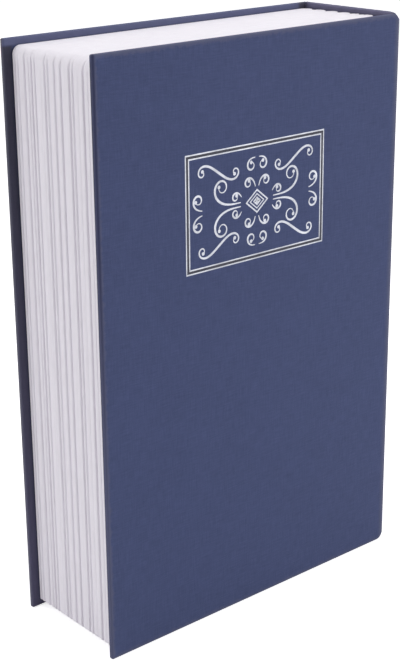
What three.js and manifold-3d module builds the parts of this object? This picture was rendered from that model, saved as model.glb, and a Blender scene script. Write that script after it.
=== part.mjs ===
import * as THREE from "three";
import { mergeVertices } from "three/addons/utils/BufferGeometryUtils.js";
import Module from "manifold-3d";

// A book that hides a lockable steel box. All lengths are in millimetres.
// Places are measured from the closed case's corner at the fore-edge, the front
// cover and the tail: x runs to the spine, y to the back cover, z to the head.

// The case: greyboards wrapped in book cloth
const HEIGHT = 240;
const WIDTH = 161;
const THICKNESS = 57.5;
const BOARD = 1.5;
const CLOTH = 0.4;
const PAPER = 0.2;
const EDGE_ROUND = 0.7; // outside rounding of a wrapped edge
const COVER_CORNER = 1.2; // corner of a cover, seen from the front
const TURN_IN = 14; // cloth turned over the board's inner face
const PASTEDOWN_MARGIN = 4; // turned-in cloth left showing round the endpaper
const JOINT_RADIUS = 5; // outside of the soft corner between front cover and spine
const JOINT_GAP = 0.5; // between the front cover's end and the soft corner
const FOLD_GAP = 0.6; // between the back cover's cloth and the spine's
const BACK_BOARD_SETBACK = 2.4; // back board's end to the fold line
const SPINE_BOARD_SETBACK = 2.2; // spine board's end to the fold line

// The moulded page block, measured at its back face
const FORE_MARGIN = 3.5;
const HEAD_MARGIN = 2.8;
const TAIL_MARGIN = 2.9;
const DRAFT = 0.6; // how much further out each side stands at the front face
const BLOCK_CORNER = 3;
const FRONT_GROOVE = 0.35; // groove behind the block's front face
const SHOULDER = 0.2; // middle of a groove to its shoulder, as a share of the bundle
const SHOULDER_DEPTH = 0.2; // what is left of the groove's depth there, as a share
const HEAD_RIB = 0.3; // groove depth at head and tail, as a share of the fore-edge's
const LIP = 0.8; // thin plate that closes the moulding's front
const LIP_RISE = 0.8; // how far it stands proud of the leaves
const SPINE_CLEARANCE = 0.8; // block to the spine's lining
const SIGNATURES = 6; // folded gatherings shown on the spine side
const SIGNATURE_BULGE = 1.6;
const SIGNATURE_ROUNDING = 0.05; // edge of a gathering to its curve's handle, as a share
const FRAME_WALL = 2;
const WEB = 2;
const LONG_POCKETS = 5;
const SHORT_POCKETS = 3;
// Bundles of leaves from front to back: thickness, and depth of the groove that follows
const BUNDLES = [
  [3.0, 0.45],
  [2.9, 0.25],
  [2.8, 0.8],
  [3.5, 0.2],
  [2.9, 0.5],
  [2.1, 0.8],
  [3.1, 0.2],
  [2.3, 0.75],
  [3.7, 0.75],
  [4.0, 0.5],
  [2.3, 0.75],
  [2.5, 0.2],
  [3.6, 0.5],
  [2.1, 0.65],
  [2.3, 0.25],
  [2.5, 0.75],
  [3.9, 0.55],
  [2.7, 0.4],
];

// The steel box, set in the middle of the page block
const SIDE_RIM = 17.2; // block's side to the box
const END_RIM = 16.55; // block's head or tail to the box
const STEEL = 1;
const BOX_CORNER = 4;
const FLANGE = 7;
const FLANGE_CORNER = 4;
const RECESS = 3.2; // block's front face down to the flange
const LINER = 2;
const LINER_GAP = 0.5;

// The lid and its continuous hinge
const LID_STEEL = 1.2;
const LID_DEPTH = 6; // front face to the ends of the folded edges
const LID_BEND = 0.8; // outside radius of the fold
const LID_GAP = 0.6; // lid's edge to the box's mouth
const LEAF = 0.8;
const LEAF_WIDTH = 7.5; // knuckle to the leaf's free edge
const HINGE_INSET = 7; // box's mouth to each end of the hinge
const KNUCKLES = 7;
const KNUCKLE_RADIUS = 2;
const KNUCKLE_GAP = 0.4;
const NECK_INSET = 0.5; // each end of a knuckle to the neck that joins it to its leaf
const PIN_RADIUS = 0.95;
const HINGE_RISE = 0.7; // axis ahead of the flange's face
const RIVETS = 4; // in each leaf
const RIVET_RADIUS = 0.9;
const RIVET_HEAD = 1.7;
const RIVET_HEAD_HEIGHT = 0.7;
const RIVET_TAIL = 0.8; // end of a set tail, as a share of the head's radius
const RIVET_DOME = [
  [0.55, 0.12],
  [0.85, 0.45],
  [1, 1],
]; // shares of the head's radius and height

// The cam lock
const LOCK_INSET = 13.5; // box's mouth to the lock's axis
const LOCK_HEAD = 9;
const LOCK_HEAD_HEIGHT = 2;
const LOCK_HEAD_EDGE = [
  [1, 0],
  [0.3, 0.3],
  [0, 1],
]; // inset and depth of the head's eased edge
const LOCK_BARREL = 6.8;
const LOCK_FLAT = 5.9; // axis to the barrel's two flats
const LOCK_REACH = 8; // barrel behind the lid's front face
const PLUG_RADIUS = 4.2;
const PLUG_RECESS = 0.3;
const KEYWAY = [1.5, 5.6, 6]; // width, height, depth
const TANG = 5; // square end of the plug that turns the cam
const WASHER = 0.8;
const NUT_HEIGHT = 3;
const NUT_RADIUS = 9; // over the corners
const CAM = 1.6;
const CAM_WIDTH = 9;
const CAM_SCREW_LAP = 1; // cam screw's head past the tang's flat
const CAM_SCREW_EDGE = 0.6; // straight part of that head, as a share of its height
const STRIKE = 1.2;
const STRIKE_LIP = 4.5;
const STRIKE_LENGTH = 30;
const STRIKE_LEG = 12;
const STRIKE_DROP = 1; // lid's folded edge to the strike's lip

// Screws that hold the box's flange on the page block
const SCREW_RADIUS = 1.1;
const SCREW_HEAD = 2.4;
const SCREW_HEAD_HEIGHT = 1.1;
const SCREW_LENGTH = 9;
const SCREW_DOME = [
  [0.7, 0.15],
  [1, 0.6],
  [1, 1],
]; // shares of the head's radius and height
const CROSS = { reach: 0.55, half: 0.12, depth: 0.55 }; // shares of the head's sizes

const CLEARANCE = 0.3; // between pieces that are fitted into each other
const RUNNING_FIT = 0.08; // round a shaft that turns, on the radius
const CORNER_STEPS = 5;
const ROUND_SIDES = 20;
const SMALL_SIDES = 12;

// Planes that more than one piece uses
const coverDepth = BOARD + 2 * CLOTH;
const blockFront = coverDepth + PAPER + CLEARANCE;
const blockBack = THICKNESS - coverDepth - PAPER;
const foldX = WIDTH - CLOTH;
const foldY = THICKNESS - CLOTH;
const blockSpine = WIDTH - coverDepth - SPINE_CLEARANCE;
const blockBottom = TAIL_MARGIN;
const blockTop = HEIGHT - HEAD_MARGIN;
const middleZ = (blockBottom + blockTop) / 2;

const boxX = [FORE_MARGIN + SIDE_RIM, blockSpine - SIDE_RIM];
const boxZ = [blockBottom + END_RIM, blockTop - END_RIM];
const mouthX = [boxX[0] + STEEL, boxX[1] - STEEL];
const mouthZ = [boxZ[0] + STEEL, boxZ[1] - STEEL];
const mouthCorner = BOX_CORNER - STEEL;
const flangeFront = blockFront + RECESS;
const flangeBack = flangeFront + STEEL;
const boxFloor = blockBack - STEEL;
const flangeX = [boxX[0] - FLANGE, boxX[1] + FLANGE];
const flangeZ = [boxZ[0] - FLANGE, boxZ[1] + FLANGE];

const hingeX = mouthX[1] - LID_GAP - KNUCKLE_RADIUS;
const hingeY = flangeFront - HINGE_RISE;
const hingeZ = [mouthZ[0] + HINGE_INSET, mouthZ[1] - HINGE_INSET];
const boreRadius = PIN_RADIUS + RUNNING_FIT;
const lidX = [mouthX[0] + LID_GAP, hingeX - KNUCKLE_RADIUS - KNUCKLE_GAP];
const lidZ = [mouthZ[0] + LID_GAP, mouthZ[1] - LID_GAP];
const lidBack = flangeFront + LID_STEEL;
const lidEnd = flangeFront + LID_DEPTH;

const lockX = mouthX[0] + LOCK_INSET;
const barrelEnd = flangeFront + LOCK_REACH;
const strikeFront = lidEnd + STRIKE_DROP;
const camFront = Math.max(barrelEnd, strikeFront + STRIKE) + 2 * CLEARANCE;
const camBack = camFront + CAM;
const camReach = LOCK_INSET - STRIKE - 2 * CLEARANCE;
const tangEnd = camBack + CLEARANCE;

// An x beyond the whole case, for shapes that are cut off there
const PAST_SPINE = WIDTH + 10;

const wasm = await Module();
wasm.setup();

// Turns a closed geometry into a solid for cutting and joining.
function solid(geometry) {
  const bare = geometry.index ? geometry.toNonIndexed() : geometry.clone();
  bare.deleteAttribute("normal");
  bare.deleteAttribute("uv");
  const merged = mergeVertices(bare, 1e-4);
  return new wasm.Manifold(
    new wasm.Mesh({
      numProp: 3,
      vertProperties: merged.attributes.position.array,
      triVerts: new Uint32Array(merged.index.array),
    }),
  );
}

// Turns a solid back into a geometry that a mesh can show.
function geometryOf(body) {
  const mesh = body.getMesh();
  const positions = new Float32Array(mesh.numVert * 3);
  for (let i = 0; i < mesh.numVert; i += 1) {
    const start = i * mesh.numProp;
    positions.set(mesh.vertProperties.subarray(start, start + 3), i * 3);
  }
  const geometry = new THREE.BufferGeometry();
  geometry.setAttribute("position", new THREE.BufferAttribute(positions, 3));
  geometry.setIndex(new THREE.BufferAttribute(new Uint32Array(mesh.triVerts), 1));
  geometry.computeVertexNormals();
  return geometry;
}

// Drops the last digits of a sum, so that faces meant to touch get one value.
function even(value) {
  return Math.round(value * 1e4) / 1e4;
}

// A block between two values on each axis.
function block(x, y, z) {
  const box = new THREE.BoxGeometry(2, 2, 2);
  const place = box.attributes.position;
  for (let i = 0; i < place.count; i += 1) {
    place.setXYZ(
      i,
      even(place.getX(i) < 0 ? x[0] : x[1]),
      even(place.getY(i) < 0 ? y[0] : y[1]),
      even(place.getZ(i) < 0 ? z[0] : z[1]),
    );
  }
  return solid(box);
}

// A round bar along y, as on the lock, the screws and the rivets.
function barY(x, z, radius, y, sides = ROUND_SIDES) {
  const bar = new THREE.CylinderGeometry(radius, radius, y[1] - y[0], sides);
  bar.translate(x, (y[0] + y[1]) / 2, z);
  return solid(bar);
}

// A round bar along z, as on the hinge.
function barZ(x, y, radius, z, sides = ROUND_SIDES) {
  const bar = new THREE.CylinderGeometry(radius, radius, z[1] - z[0], sides);
  bar.rotateX(Math.PI / 2);
  bar.translate(x, y, (z[0] + z[1]) / 2);
  return solid(bar);
}

// A shape turned about an axis along y. Profile points are [radius, y], front to back.
function turned(x, z, profile, sides) {
  const points = profile.map(([radius, y]) => new THREE.Vector2(radius, y));
  const lathe = new THREE.LatheGeometry(points, sides);
  lathe.translate(x, 0, z);
  return solid(lathe);
}

// The part of a profile that rounds a fastener's head.
function dome(shares, radius, top, height) {
  return shares.map(([wide, deep]) => [wide * radius, top + deep * height]);
}

function cutAll(body, tools) {
  return tools.reduce((left, tool) => left.subtract(tool), body);
}

function joinAll(bodies) {
  return bodies.reduce((left, right) => left.add(right));
}

// Middles of equal shares of a span.
function spread(span, count) {
  const step = (span[1] - span[0]) / count;
  return Array.from({ length: count }, (_, i) => span[0] + (i + 0.5) * step);
}

// Outline in x and z with round corners, plain at the spine if spineRadius is 0.
function outline(x, y, z, radius, spineRadius = radius) {
  const corners = [
    [x[1], z[1], spineRadius],
    [x[0], z[1], radius],
    [x[0], z[0], radius],
    [x[1], z[0], spineRadius],
  ];
  const points = [];
  corners.forEach(([cornerX, cornerZ, round], quarter) => {
    const middleX = cornerX + (cornerX === x[1] ? -round : round);
    const middleZ = cornerZ + (cornerZ === z[1] ? -round : round);
    const steps = round > 0 ? CORNER_STEPS : 0;
    for (let i = 0; i <= steps; i += 1) {
      const angle = (quarter + (steps ? i / steps : 0)) * (Math.PI / 2);
      const px = middleX + round * Math.cos(angle);
      const pz = middleZ + round * Math.sin(angle);
      points.push(new THREE.Vector3(px, even(y), pz));
    }
  });
  return points;
}

// A closed body through a row of like outlines, each convex, from front to back.
function loft(rings) {
  const count = rings[0].length;
  const triangles = [];
  const put = (...corners) => {
    for (const corner of corners) triangles.push(...corner);
  };
  for (let i = 0; i + 1 < rings.length; i += 1) {
    for (let j = 0; j < count; j += 1) {
      const k = (j + 1) % count;
      put(rings[i][j], rings[i + 1][j], rings[i + 1][k]);
      put(rings[i][j], rings[i + 1][k], rings[i][k]);
    }
  }
  const last = rings.length - 1;
  for (let j = 1; j + 1 < count; j += 1) {
    put(rings[0][0], rings[0][j], rings[0][j + 1]);
    put(rings[last][0], rings[last][j + 1], rings[last][j]);
  }
  const geometry = new THREE.BufferGeometry();
  geometry.setAttribute("position", new THREE.Float32BufferAttribute(triangles, 3));
  return solid(geometry);
}

// A body with four round corners. Rows are [y, inset], from front to back.
function panel(x, z, radius, rows) {
  return loft(
    rows.map(([y, inset]) =>
      outline(
        [x[0] + inset, x[1] - inset],
        y,
        [z[0] + inset, z[1] - inset],
        radius - inset,
      ),
    ),
  );
}

// A cover's outside, with soft edges, running past the spine.
function softSlab(y) {
  const steps = 3;
  const rings = [];
  const ring = (angle, faceY, inward) => {
    const inset = EDGE_ROUND * (1 - Math.sin(angle));
    const depth = EDGE_ROUND * (1 - Math.cos(angle));
    const z = [inset, HEIGHT - inset];
    const x = [inset, PAST_SPINE];
    rings.push(outline(x, faceY + inward * depth, z, COVER_CORNER - inset, 0));
  };
  for (let i = 0; i <= steps; i += 1) ring((i / steps) * (Math.PI / 2), y[0], 1);
  for (let i = steps; i >= 0; i -= 1) ring((i / steps) * (Math.PI / 2), y[1], -1);
  return loft(rings);
}

// Book cloth wrapped round one cover board, open towards the spine.
// outer is the outside face's y, inwards is +1 or -1, boardEnd and clothEnd are x.
function coverCloth(outer, inwards, boardEnd, clothEnd) {
  const inner = outer + inwards * coverDepth;
  const y = [Math.min(outer, inner), Math.max(outer, inner)];
  const wrap = softSlab(y);
  const core = block(
    [CLOTH, PAST_SPINE + 1],
    [y[0] + CLOTH, y[1] - CLOTH],
    [CLOTH, HEIGHT - CLOTH],
  );
  const behind = [outer + inwards * CLOTH, inner + inwards];
  const window = block(
    [TURN_IN, PAST_SPINE + 1],
    [Math.min(...behind), Math.max(...behind)],
    [TURN_IN, HEIGHT - TURN_IN],
  );
  const pastBoard = block(
    [boardEnd, PAST_SPINE + 1],
    [Math.min(...behind), Math.max(...behind)],
    [-1, HEIGHT + 1],
  );
  const pastCloth = block(
    [clothEnd, PAST_SPINE + 1],
    [y[0] - 1, y[1] + 1],
    [-1, HEIGHT + 1],
  );
  return cutAll(wrap, [core, window, pastBoard, pastCloth]);
}

function coverBoard(outer, inwards, boardEnd) {
  const faces = [outer + inwards * CLOTH, outer + inwards * (CLOTH + BOARD)];
  const y = [Math.min(...faces), Math.max(...faces)];
  return block([CLOTH, boardEnd], y, [CLOTH, HEIGHT - CLOTH]);
}

// Pastedown: fills the window that the turned-in cloth leaves and laps over it.
function endpaper(outer, inwards, end) {
  const board = outer + inwards * (CLOTH + BOARD);
  const cloth = outer + inwards * coverDepth;
  const face = cloth + inwards * PAPER;
  const filling = block(
    [TURN_IN, end],
    [Math.min(board, face), Math.max(board, face)],
    [TURN_IN, HEIGHT - TURN_IN],
  );
  const lap = block(
    [PASTEDOWN_MARGIN, end],
    [Math.min(cloth, face), Math.max(cloth, face)],
    [PASTEDOWN_MARGIN, HEIGHT - PASTEDOWN_MARGIN],
  );
  return filling.add(lap);
}

// Spine cloth: a skin that runs round the soft front corner and up to the back fold.
function spineCloth() {
  const corner = [WIDTH - JOINT_RADIUS, JOINT_RADIUS];
  const skin = new THREE.Shape();
  skin.moveTo(corner[0], 0);
  skin.absarc(corner[0], corner[1], JOINT_RADIUS, -Math.PI / 2, 0, false);
  skin.lineTo(WIDTH, THICKNESS);
  skin.lineTo(foldX, THICKNESS);
  skin.lineTo(foldX, corner[1]);
  skin.absarc(corner[0], corner[1], JOINT_RADIUS - CLOTH, 0, -Math.PI / 2, true);
  skin.closePath();
  const outside = new THREE.ExtrudeGeometry(skin, {
    depth: HEIGHT,
    bevelEnabled: false,
    curveSegments: 8,
  });
  return solid(outside);
}

function spineBoard() {
  const y = [JOINT_RADIUS + CLEARANCE, foldY - SPINE_BOARD_SETBACK];
  return block([foldX - BOARD, foldX], y, [CLOTH, HEIGHT - CLOTH]);
}

// Lining: covers the spine board's inner face and turns over its head and tail.
function spineLining() {
  const y = [JOINT_RADIUS + CLEARANCE, foldY - SPINE_BOARD_SETBACK];
  const inner = foldX - BOARD - CLOTH;
  const skin = block([inner, foldX - BOARD], y, [0, HEIGHT]);
  const tail = block([foldX - BOARD, foldX], y, [0, CLOTH]);
  const head = block([foldX - BOARD, foldX], y, [HEIGHT - CLOTH, HEIGHT]);
  return joinAll([skin, tail, head]);
}

// Section of the page block's wall from front to back: [y, depth below the crests].
function pageProfile() {
  const total = BUNDLES.reduce((sum, [thickness]) => sum + thickness, 0);
  const scale = (blockBack - blockFront) / total;
  const profile = [[blockFront, FRONT_GROOVE]];
  let y = blockFront;
  let before = FRONT_GROOVE;
  BUNDLES.forEach(([thickness, groove], i) => {
    const width = thickness * scale;
    const next = i === BUNDLES.length - 1 ? blockBack : y + width;
    profile.push([y + SHOULDER * width, SHOULDER_DEPTH * before]);
    profile.push([y + width / 2, 0]);
    profile.push([y + (1 - SHOULDER) * width, SHOULDER_DEPTH * groove]);
    profile.push([next, groove]);
    y = next;
    before = groove;
  });
  return profile;
}

// Outline of the page block in x and z at one depth of its wall.
function pageOutline(y, groove, rise = 0) {
  const share = (blockBack - y) / (blockBack - blockFront);
  const out = DRAFT * share + rise;
  const end = out - HEAD_RIB * groove;
  const z = [blockBottom - end, blockTop + end];
  const x = [FORE_MARGIN - out + groove, PAST_SPINE];
  return outline(x, y, z, BLOCK_CORNER + rise, 0);
}

// Plan of the page block: plain on three sides, gatherings on the spine side.
function signaturePlan() {
  const step = (blockBack - blockFront) / SIGNATURES;
  const valley = blockSpine - SIGNATURE_BULGE;
  const handle = valley + (4 / 3) * SIGNATURE_BULGE; // the curve goes 3/4 of the way to it
  const plan = new THREE.Shape();
  plan.moveTo(-FORE_MARGIN, blockFront);
  plan.lineTo(valley, blockFront);
  for (let i = 0; i < SIGNATURES; i += 1) {
    const from = blockFront + i * step;
    plan.bezierCurveTo(
      handle,
      from + SIGNATURE_ROUNDING * step,
      handle,
      from + (1 - SIGNATURE_ROUNDING) * step,
      valley,
      i === SIGNATURES - 1 ? blockBack : from + step,
    );
  }
  plan.lineTo(-FORE_MARGIN, blockBack);
  plan.closePath();
  const body = new THREE.ExtrudeGeometry(plan, {
    depth: HEIGHT,
    bevelEnabled: false,
    curveSegments: 6,
  });
  return solid(body);
}

// Pockets that lighten the moulding from its hidden back, with webs between them.
function framePockets() {
  const deepest = Math.max(...BUNDLES.map(([, groove]) => groove));
  const skin = FRAME_WALL + deepest;
  const well = CLEARANCE + FRAME_WALL;
  const y = [flangeBack + FRAME_WALL + CLEARANCE, blockBack + 1];
  const pockets = [];
  const sides = [
    [FORE_MARGIN + skin, boxX[0] - well],
    [boxX[1] + well, blockSpine - SIGNATURE_BULGE - FRAME_WALL],
  ];
  const ends = [
    [blockBottom + skin, boxZ[0] - well],
    [boxZ[1] + well, blockTop - skin],
  ];
  const long = (boxZ[1] - boxZ[0]) / LONG_POCKETS;
  const short = (boxX[1] - boxX[0]) / SHORT_POCKETS;
  for (const z of spread(boxZ, LONG_POCKETS)) {
    for (const x of sides) {
      pockets.push(block(x, y, [z - (long - WEB) / 2, z + (long - WEB) / 2]));
    }
  }
  for (const x of spread(boxX, SHORT_POCKETS)) {
    for (const z of ends) {
      pockets.push(block([x - (short - WEB) / 2, x + (short - WEB) / 2], y, z));
    }
  }
  return pockets;
}

const screwPlaces = [];
for (const x of [boxX[0] - FLANGE / 2, boxX[1] + FLANGE / 2]) {
  for (const z of [boxZ[0] - FLANGE / 2, boxZ[1] + FLANGE / 2]) {
    screwPlaces.push([x, z]);
  }
}

// The block's edges are ribbed like leaves; the middle is open for the steel box.
function pageFrame() {
  const body = loft(pageProfile().map(([y, depth]) => pageOutline(y, depth)));
  const well = panel(boxX, boxZ, BOX_CORNER, [
    [blockFront - 1, -CLEARANCE],
    [blockBack + 1, -CLEARANCE],
  ]);
  const recess = panel(flangeX, flangeZ, FLANGE_CORNER, [
    [blockFront - 1, -CLEARANCE],
    [flangeBack, -CLEARANCE],
  ]);
  const screwHoles = screwPlaces.map(([x, z]) =>
    barY(
      x,
      z,
      SCREW_RADIUS + CLEARANCE,
      [flangeBack - 1, flangeFront + SCREW_LENGTH + CLEARANCE],
      SMALL_SIDES,
    ),
  );
  const leaves = body.intersect(signaturePlan());
  const plate = loft([
    pageOutline(blockFront, 0, LIP_RISE),
    pageOutline(blockFront + LIP, 0, LIP_RISE),
  ]);
  const beyond = block(
    [blockSpine, PAST_SPINE + 1],
    [blockFront - 1, blockBack + 1],
    [-1, HEIGHT + 1],
  );
  const shaped = leaves.add(plate.subtract(beyond));
  return cutAll(shaped, [well, recess, ...framePockets(), ...screwHoles]);
}

const rivetFlangeX = boxX[1] + FLANGE / 2;
const rivetLidX = lidX[1] - FLANGE / 2;
const rivetZ = spread(hingeZ, RIVETS);

function rivetHoles(x, y) {
  const radius = RIVET_RADIUS + CLEARANCE;
  return rivetZ.map((z) => barY(x, z, radius, y, SMALL_SIDES));
}

// Five-sided box of folded sheet with a flange round its mouth.
function boxBody() {
  const shell = panel(boxX, boxZ, BOX_CORNER, [
    [flangeFront, 0],
    [blockBack, 0],
  ]);
  const flange = panel(flangeX, flangeZ, FLANGE_CORNER, [
    [flangeFront, 0],
    [flangeBack, 0],
  ]);
  const inside = panel(mouthX, mouthZ, mouthCorner, [
    [flangeFront - 1, 0],
    [boxFloor, 0],
  ]);
  const through = [flangeFront - 1, flangeBack + 1];
  const screwHoles = screwPlaces.map(([x, z]) =>
    barY(x, z, SCREW_RADIUS + CLEARANCE, through, SMALL_SIDES),
  );
  const cuts = [inside, ...screwHoles, ...rivetHoles(rivetFlangeX, through)];
  return cutAll(shell.add(flange), cuts);
}

function boxLiner() {
  return panel(mouthX, mouthZ, mouthCorner, [
    [boxFloor - LINER, LINER_GAP],
    [boxFloor, LINER_GAP],
  ]);
}

// Angle welded inside the mouth; the lock's cam turns in behind its lip.
function strikePlate() {
  const z = [middleZ - STRIKE_LENGTH / 2, middleZ + STRIKE_LENGTH / 2];
  const leg = block(
    [mouthX[0], mouthX[0] + STRIKE],
    [strikeFront, strikeFront + STRIKE_LEG],
    z,
  );
  const lip = block(
    [mouthX[0], mouthX[0] + STRIKE_LIP],
    [strikeFront, strikeFront + STRIKE],
    z,
  );
  return leg.add(lip);
}

// Inset lid: a sheet with its four edges folded back.
function lidPanel() {
  const corner = mouthCorner - LID_GAP;
  const half = LID_BEND * (1 - Math.SQRT1_2);
  const tray = panel(lidX, lidZ, corner, [
    [flangeFront, LID_BEND],
    [flangeFront + half, half],
    [flangeFront + LID_BEND, 0],
    [lidEnd, 0],
  ]);
  const hollow = panel(lidX, lidZ, corner, [
    [lidBack, LID_STEEL],
    [lidEnd + 1, LID_STEEL],
  ]);
  const through = [flangeFront - 1, lidBack + 1];
  const lockHole = lockBarrel(through, CLEARANCE);
  const leafHoles = rivetHoles(rivetLidX, through);
  return cutAll(tray, [hollow, lockHole, ...leafHoles]);
}

// Knuckle spans along the hinge; even ones belong to the box, odd ones to the lid.
function knuckleSpans(onLid) {
  const length = (hingeZ[1] - hingeZ[0]) / KNUCKLES;
  const spans = [];
  for (let i = onLid ? 1 : 0; i < KNUCKLES; i += 2) {
    const start = hingeZ[0] + i * length;
    spans.push([start + CLEARANCE / 2, start + length - CLEARANCE / 2]);
  }
  return spans;
}

// One hinge leaf with its knuckles. side is +1 for the box's leaf, -1 for the lid's.
function hingeLeaf(onLid) {
  const side = onLid ? -1 : 1;
  const clear = hingeX + side * (KNUCKLE_RADIUS + KNUCKLE_GAP);
  const edge = hingeX + side * (KNUCKLE_RADIUS + LEAF_WIDTH);
  const y = [flangeFront - LEAF, flangeFront];
  const span = (a, b) => [Math.min(a, b), Math.max(a, b)];
  const root = hingeX + (side * (boreRadius + KNUCKLE_RADIUS)) / 2;
  const pieces = [block(span(clear, edge), y, hingeZ)];
  for (const z of knuckleSpans(onLid)) {
    pieces.push(barZ(hingeX, hingeY, KNUCKLE_RADIUS, z));
    const neck = [z[0] + NECK_INSET, z[1] - NECK_INSET];
    pieces.push(block(span(root, clear + side), y, neck));
  }
  const length = [hingeZ[0] - 1, hingeZ[1] + 1];
  const bore = barZ(hingeX, hingeY, boreRadius, length);
  const rivetX = onLid ? rivetLidX : rivetFlangeX;
  const holes = rivetHoles(rivetX, [y[0] - 1, y[1] + 1]);
  return cutAll(joinAll(pieces), [bore, ...holes]);
}

function hingePin() {
  return barZ(hingeX, hingeY, PIN_RADIUS, hingeZ);
}

// Domed rivet through a leaf and the sheet behind it, its tail set if there is room.
function rivet(x, z, sheetBack, hasTail) {
  const base = flangeFront - LEAF;
  const top = base - RIVET_HEAD_HEIGHT;
  const profile = [
    [0, top],
    ...dome(RIVET_DOME, RIVET_HEAD, top, RIVET_HEAD_HEIGHT),
    [RIVET_RADIUS, base],
  ];
  if (hasTail) {
    profile.push([RIVET_RADIUS, sheetBack]);
    profile.push([RIVET_HEAD, sheetBack]);
    profile.push([RIVET_TAIL * RIVET_HEAD, sheetBack + RIVET_HEAD_HEIGHT]);
    profile.push([0, sheetBack + RIVET_HEAD_HEIGHT]);
  } else {
    profile.push([RIVET_RADIUS, sheetBack]);
    profile.push([0, sheetBack]);
  }
  return turned(x, z, profile, SMALL_SIDES);
}

// Pan-head screw with a cross slot.
function boxScrew(x, z) {
  const top = flangeFront - SCREW_HEAD_HEIGHT;
  const body = turned(
    x,
    z,
    [
      [0, top],
      ...dome(SCREW_DOME, SCREW_HEAD, top, SCREW_HEAD_HEIGHT),
      [SCREW_RADIUS, flangeFront],
      [SCREW_RADIUS, flangeFront + SCREW_LENGTH - SCREW_RADIUS],
      [0, flangeFront + SCREW_LENGTH],
    ],
    SMALL_SIDES,
  );
  const slot = [top - 1, top + CROSS.depth * SCREW_HEAD_HEIGHT];
  const arm = CROSS.reach * SCREW_HEAD;
  const half = CROSS.half * SCREW_HEAD;
  const across = block([x - arm, x + arm], slot, [z - half, z + half]);
  const upright = block([x - half, x + half], slot, [z - arm, z + arm]);
  return body.subtract(across.add(upright));
}

// Barrel with two flats, so that it can't turn in the lid. grow widens it for its hole.
function lockBarrel(y, grow) {
  const round = barY(lockX, middleZ, LOCK_BARREL + grow, y);
  const flat = LOCK_FLAT + grow;
  const wide = LOCK_BARREL + grow + 1;
  const between = block(
    [lockX - flat, lockX + flat],
    [y[0] - 1, y[1] + 1],
    [middleZ - wide, middleZ + wide],
  );
  return round.intersect(between);
}

function lockHousing() {
  const front = flangeFront - LOCK_HEAD_HEIGHT;
  const head = turned(
    lockX,
    middleZ,
    [
      [0, front],
      ...LOCK_HEAD_EDGE.map(([inset, depth]) => [LOCK_HEAD - inset, front + depth]),
      [LOCK_HEAD, flangeFront],
      [0, flangeFront],
    ],
    ROUND_SIDES,
  );
  const barrel = lockBarrel([front + LOCK_HEAD_HEIGHT / 2, barrelEnd], 0);
  const plugBore = PLUG_RADIUS + RUNNING_FIT;
  const bore = barY(lockX, middleZ, plugBore, [front - 1, barrelEnd + 1]);
  return head.add(barrel).subtract(bore);
}

function lockPlug() {
  const front = flangeFront - LOCK_HEAD_HEIGHT + PLUG_RECESS;
  const body = barY(lockX, middleZ, PLUG_RADIUS, [front, barrelEnd + CLEARANCE]);
  const tang = block(
    [lockX - TANG / 2, lockX + TANG / 2],
    [barrelEnd, tangEnd],
    [middleZ - TANG / 2, middleZ + TANG / 2],
  );
  const [keyWidth, keyHeight, keyDepth] = KEYWAY;
  const keyway = block(
    [lockX - keyWidth / 2, lockX + keyWidth / 2],
    [front - 1, front + keyDepth],
    [middleZ - keyHeight / 2, middleZ + keyHeight / 2],
  );
  const tapped = barY(
    lockX,
    middleZ,
    SCREW_RADIUS + CLEARANCE,
    [barrelEnd, tangEnd + 1],
    SMALL_SIDES,
  );
  return cutAll(body.add(tang), [keyway, tapped]);
}

function lockWasher() {
  const y = [lidBack, lidBack + WASHER];
  const ring = barY(lockX, middleZ, NUT_RADIUS, y);
  return ring.subtract(lockBarrel([y[0] - 1, y[1] + 1], CLEARANCE));
}

function lockNut() {
  const start = lidBack + WASHER;
  const hexagon = barY(lockX, middleZ, NUT_RADIUS, [start, start + NUT_HEIGHT], 6);
  const bore = barY(
    lockX,
    middleZ,
    LOCK_BARREL + CLEARANCE,
    [start - 1, start + NUT_HEIGHT + 1],
  );
  return hexagon.subtract(bore);
}

// Flat cam, round at both ends. At rest it hangs tailwards, clear of the strike.
function lockCam() {
  const radius = CAM_WIDTH / 2;
  const tip = middleZ - camReach + radius;
  const y = [camFront, camBack];
  const middle = block([lockX - radius, lockX + radius], y, [tip, middleZ]);
  const hub = barY(lockX, middleZ, radius, y);
  const nose = barY(lockX, tip, radius, y);
  const half = TANG / 2 + CLEARANCE;
  const hole = block(
    [lockX - half, lockX + half],
    [camFront - 1, camBack + 1],
    [middleZ - half, middleZ + half],
  );
  return joinAll([middle, hub, nose]).subtract(hole);
}

function camScrew() {
  const head = TANG / 2 + CAM_SCREW_LAP;
  const profile = [
    [0, barrelEnd + 2 * CLEARANCE],
    [SCREW_RADIUS, barrelEnd + 2 * CLEARANCE],
    [SCREW_RADIUS, tangEnd],
    [head, tangEnd],
    [head, tangEnd + CAM_SCREW_EDGE * SCREW_HEAD_HEIGHT],
    [TANG / 2, tangEnd + SCREW_HEAD_HEIGHT],
    [0, tangEnd + SCREW_HEAD_HEIGHT],
  ];
  return turned(lockX, middleZ, profile, SMALL_SIDES);
}

function finish(colour, roughness, metalness) {
  return new THREE.MeshStandardMaterial({ color: colour, roughness, metalness });
}

const cloth = finish(0x474f6f, 0.75, 0);
const lining = finish(0x3a4060, 0.85, 0);
const greyboard = finish(0x8d8a84, 0.95, 0);
const paper = finish(0xe9e6e0, 0.9, 0);
const pages = finish(0xe6e3ea, 0.55, 0);
const paintedSteel = finish(0x2c2e33, 0.5, 0.2);
const plainSteel = finish(0xb4b6ba, 0.35, 0.9);
const chrome = finish(0xd4d6da, 0.15, 1);
const felt = finish(0x26282c, 1, 0);

const book = new THREE.Group();

function add(name, body, material) {
  const mesh = new THREE.Mesh(geometryOf(body), material);
  mesh.name = name;
  book.add(mesh);
}

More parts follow.
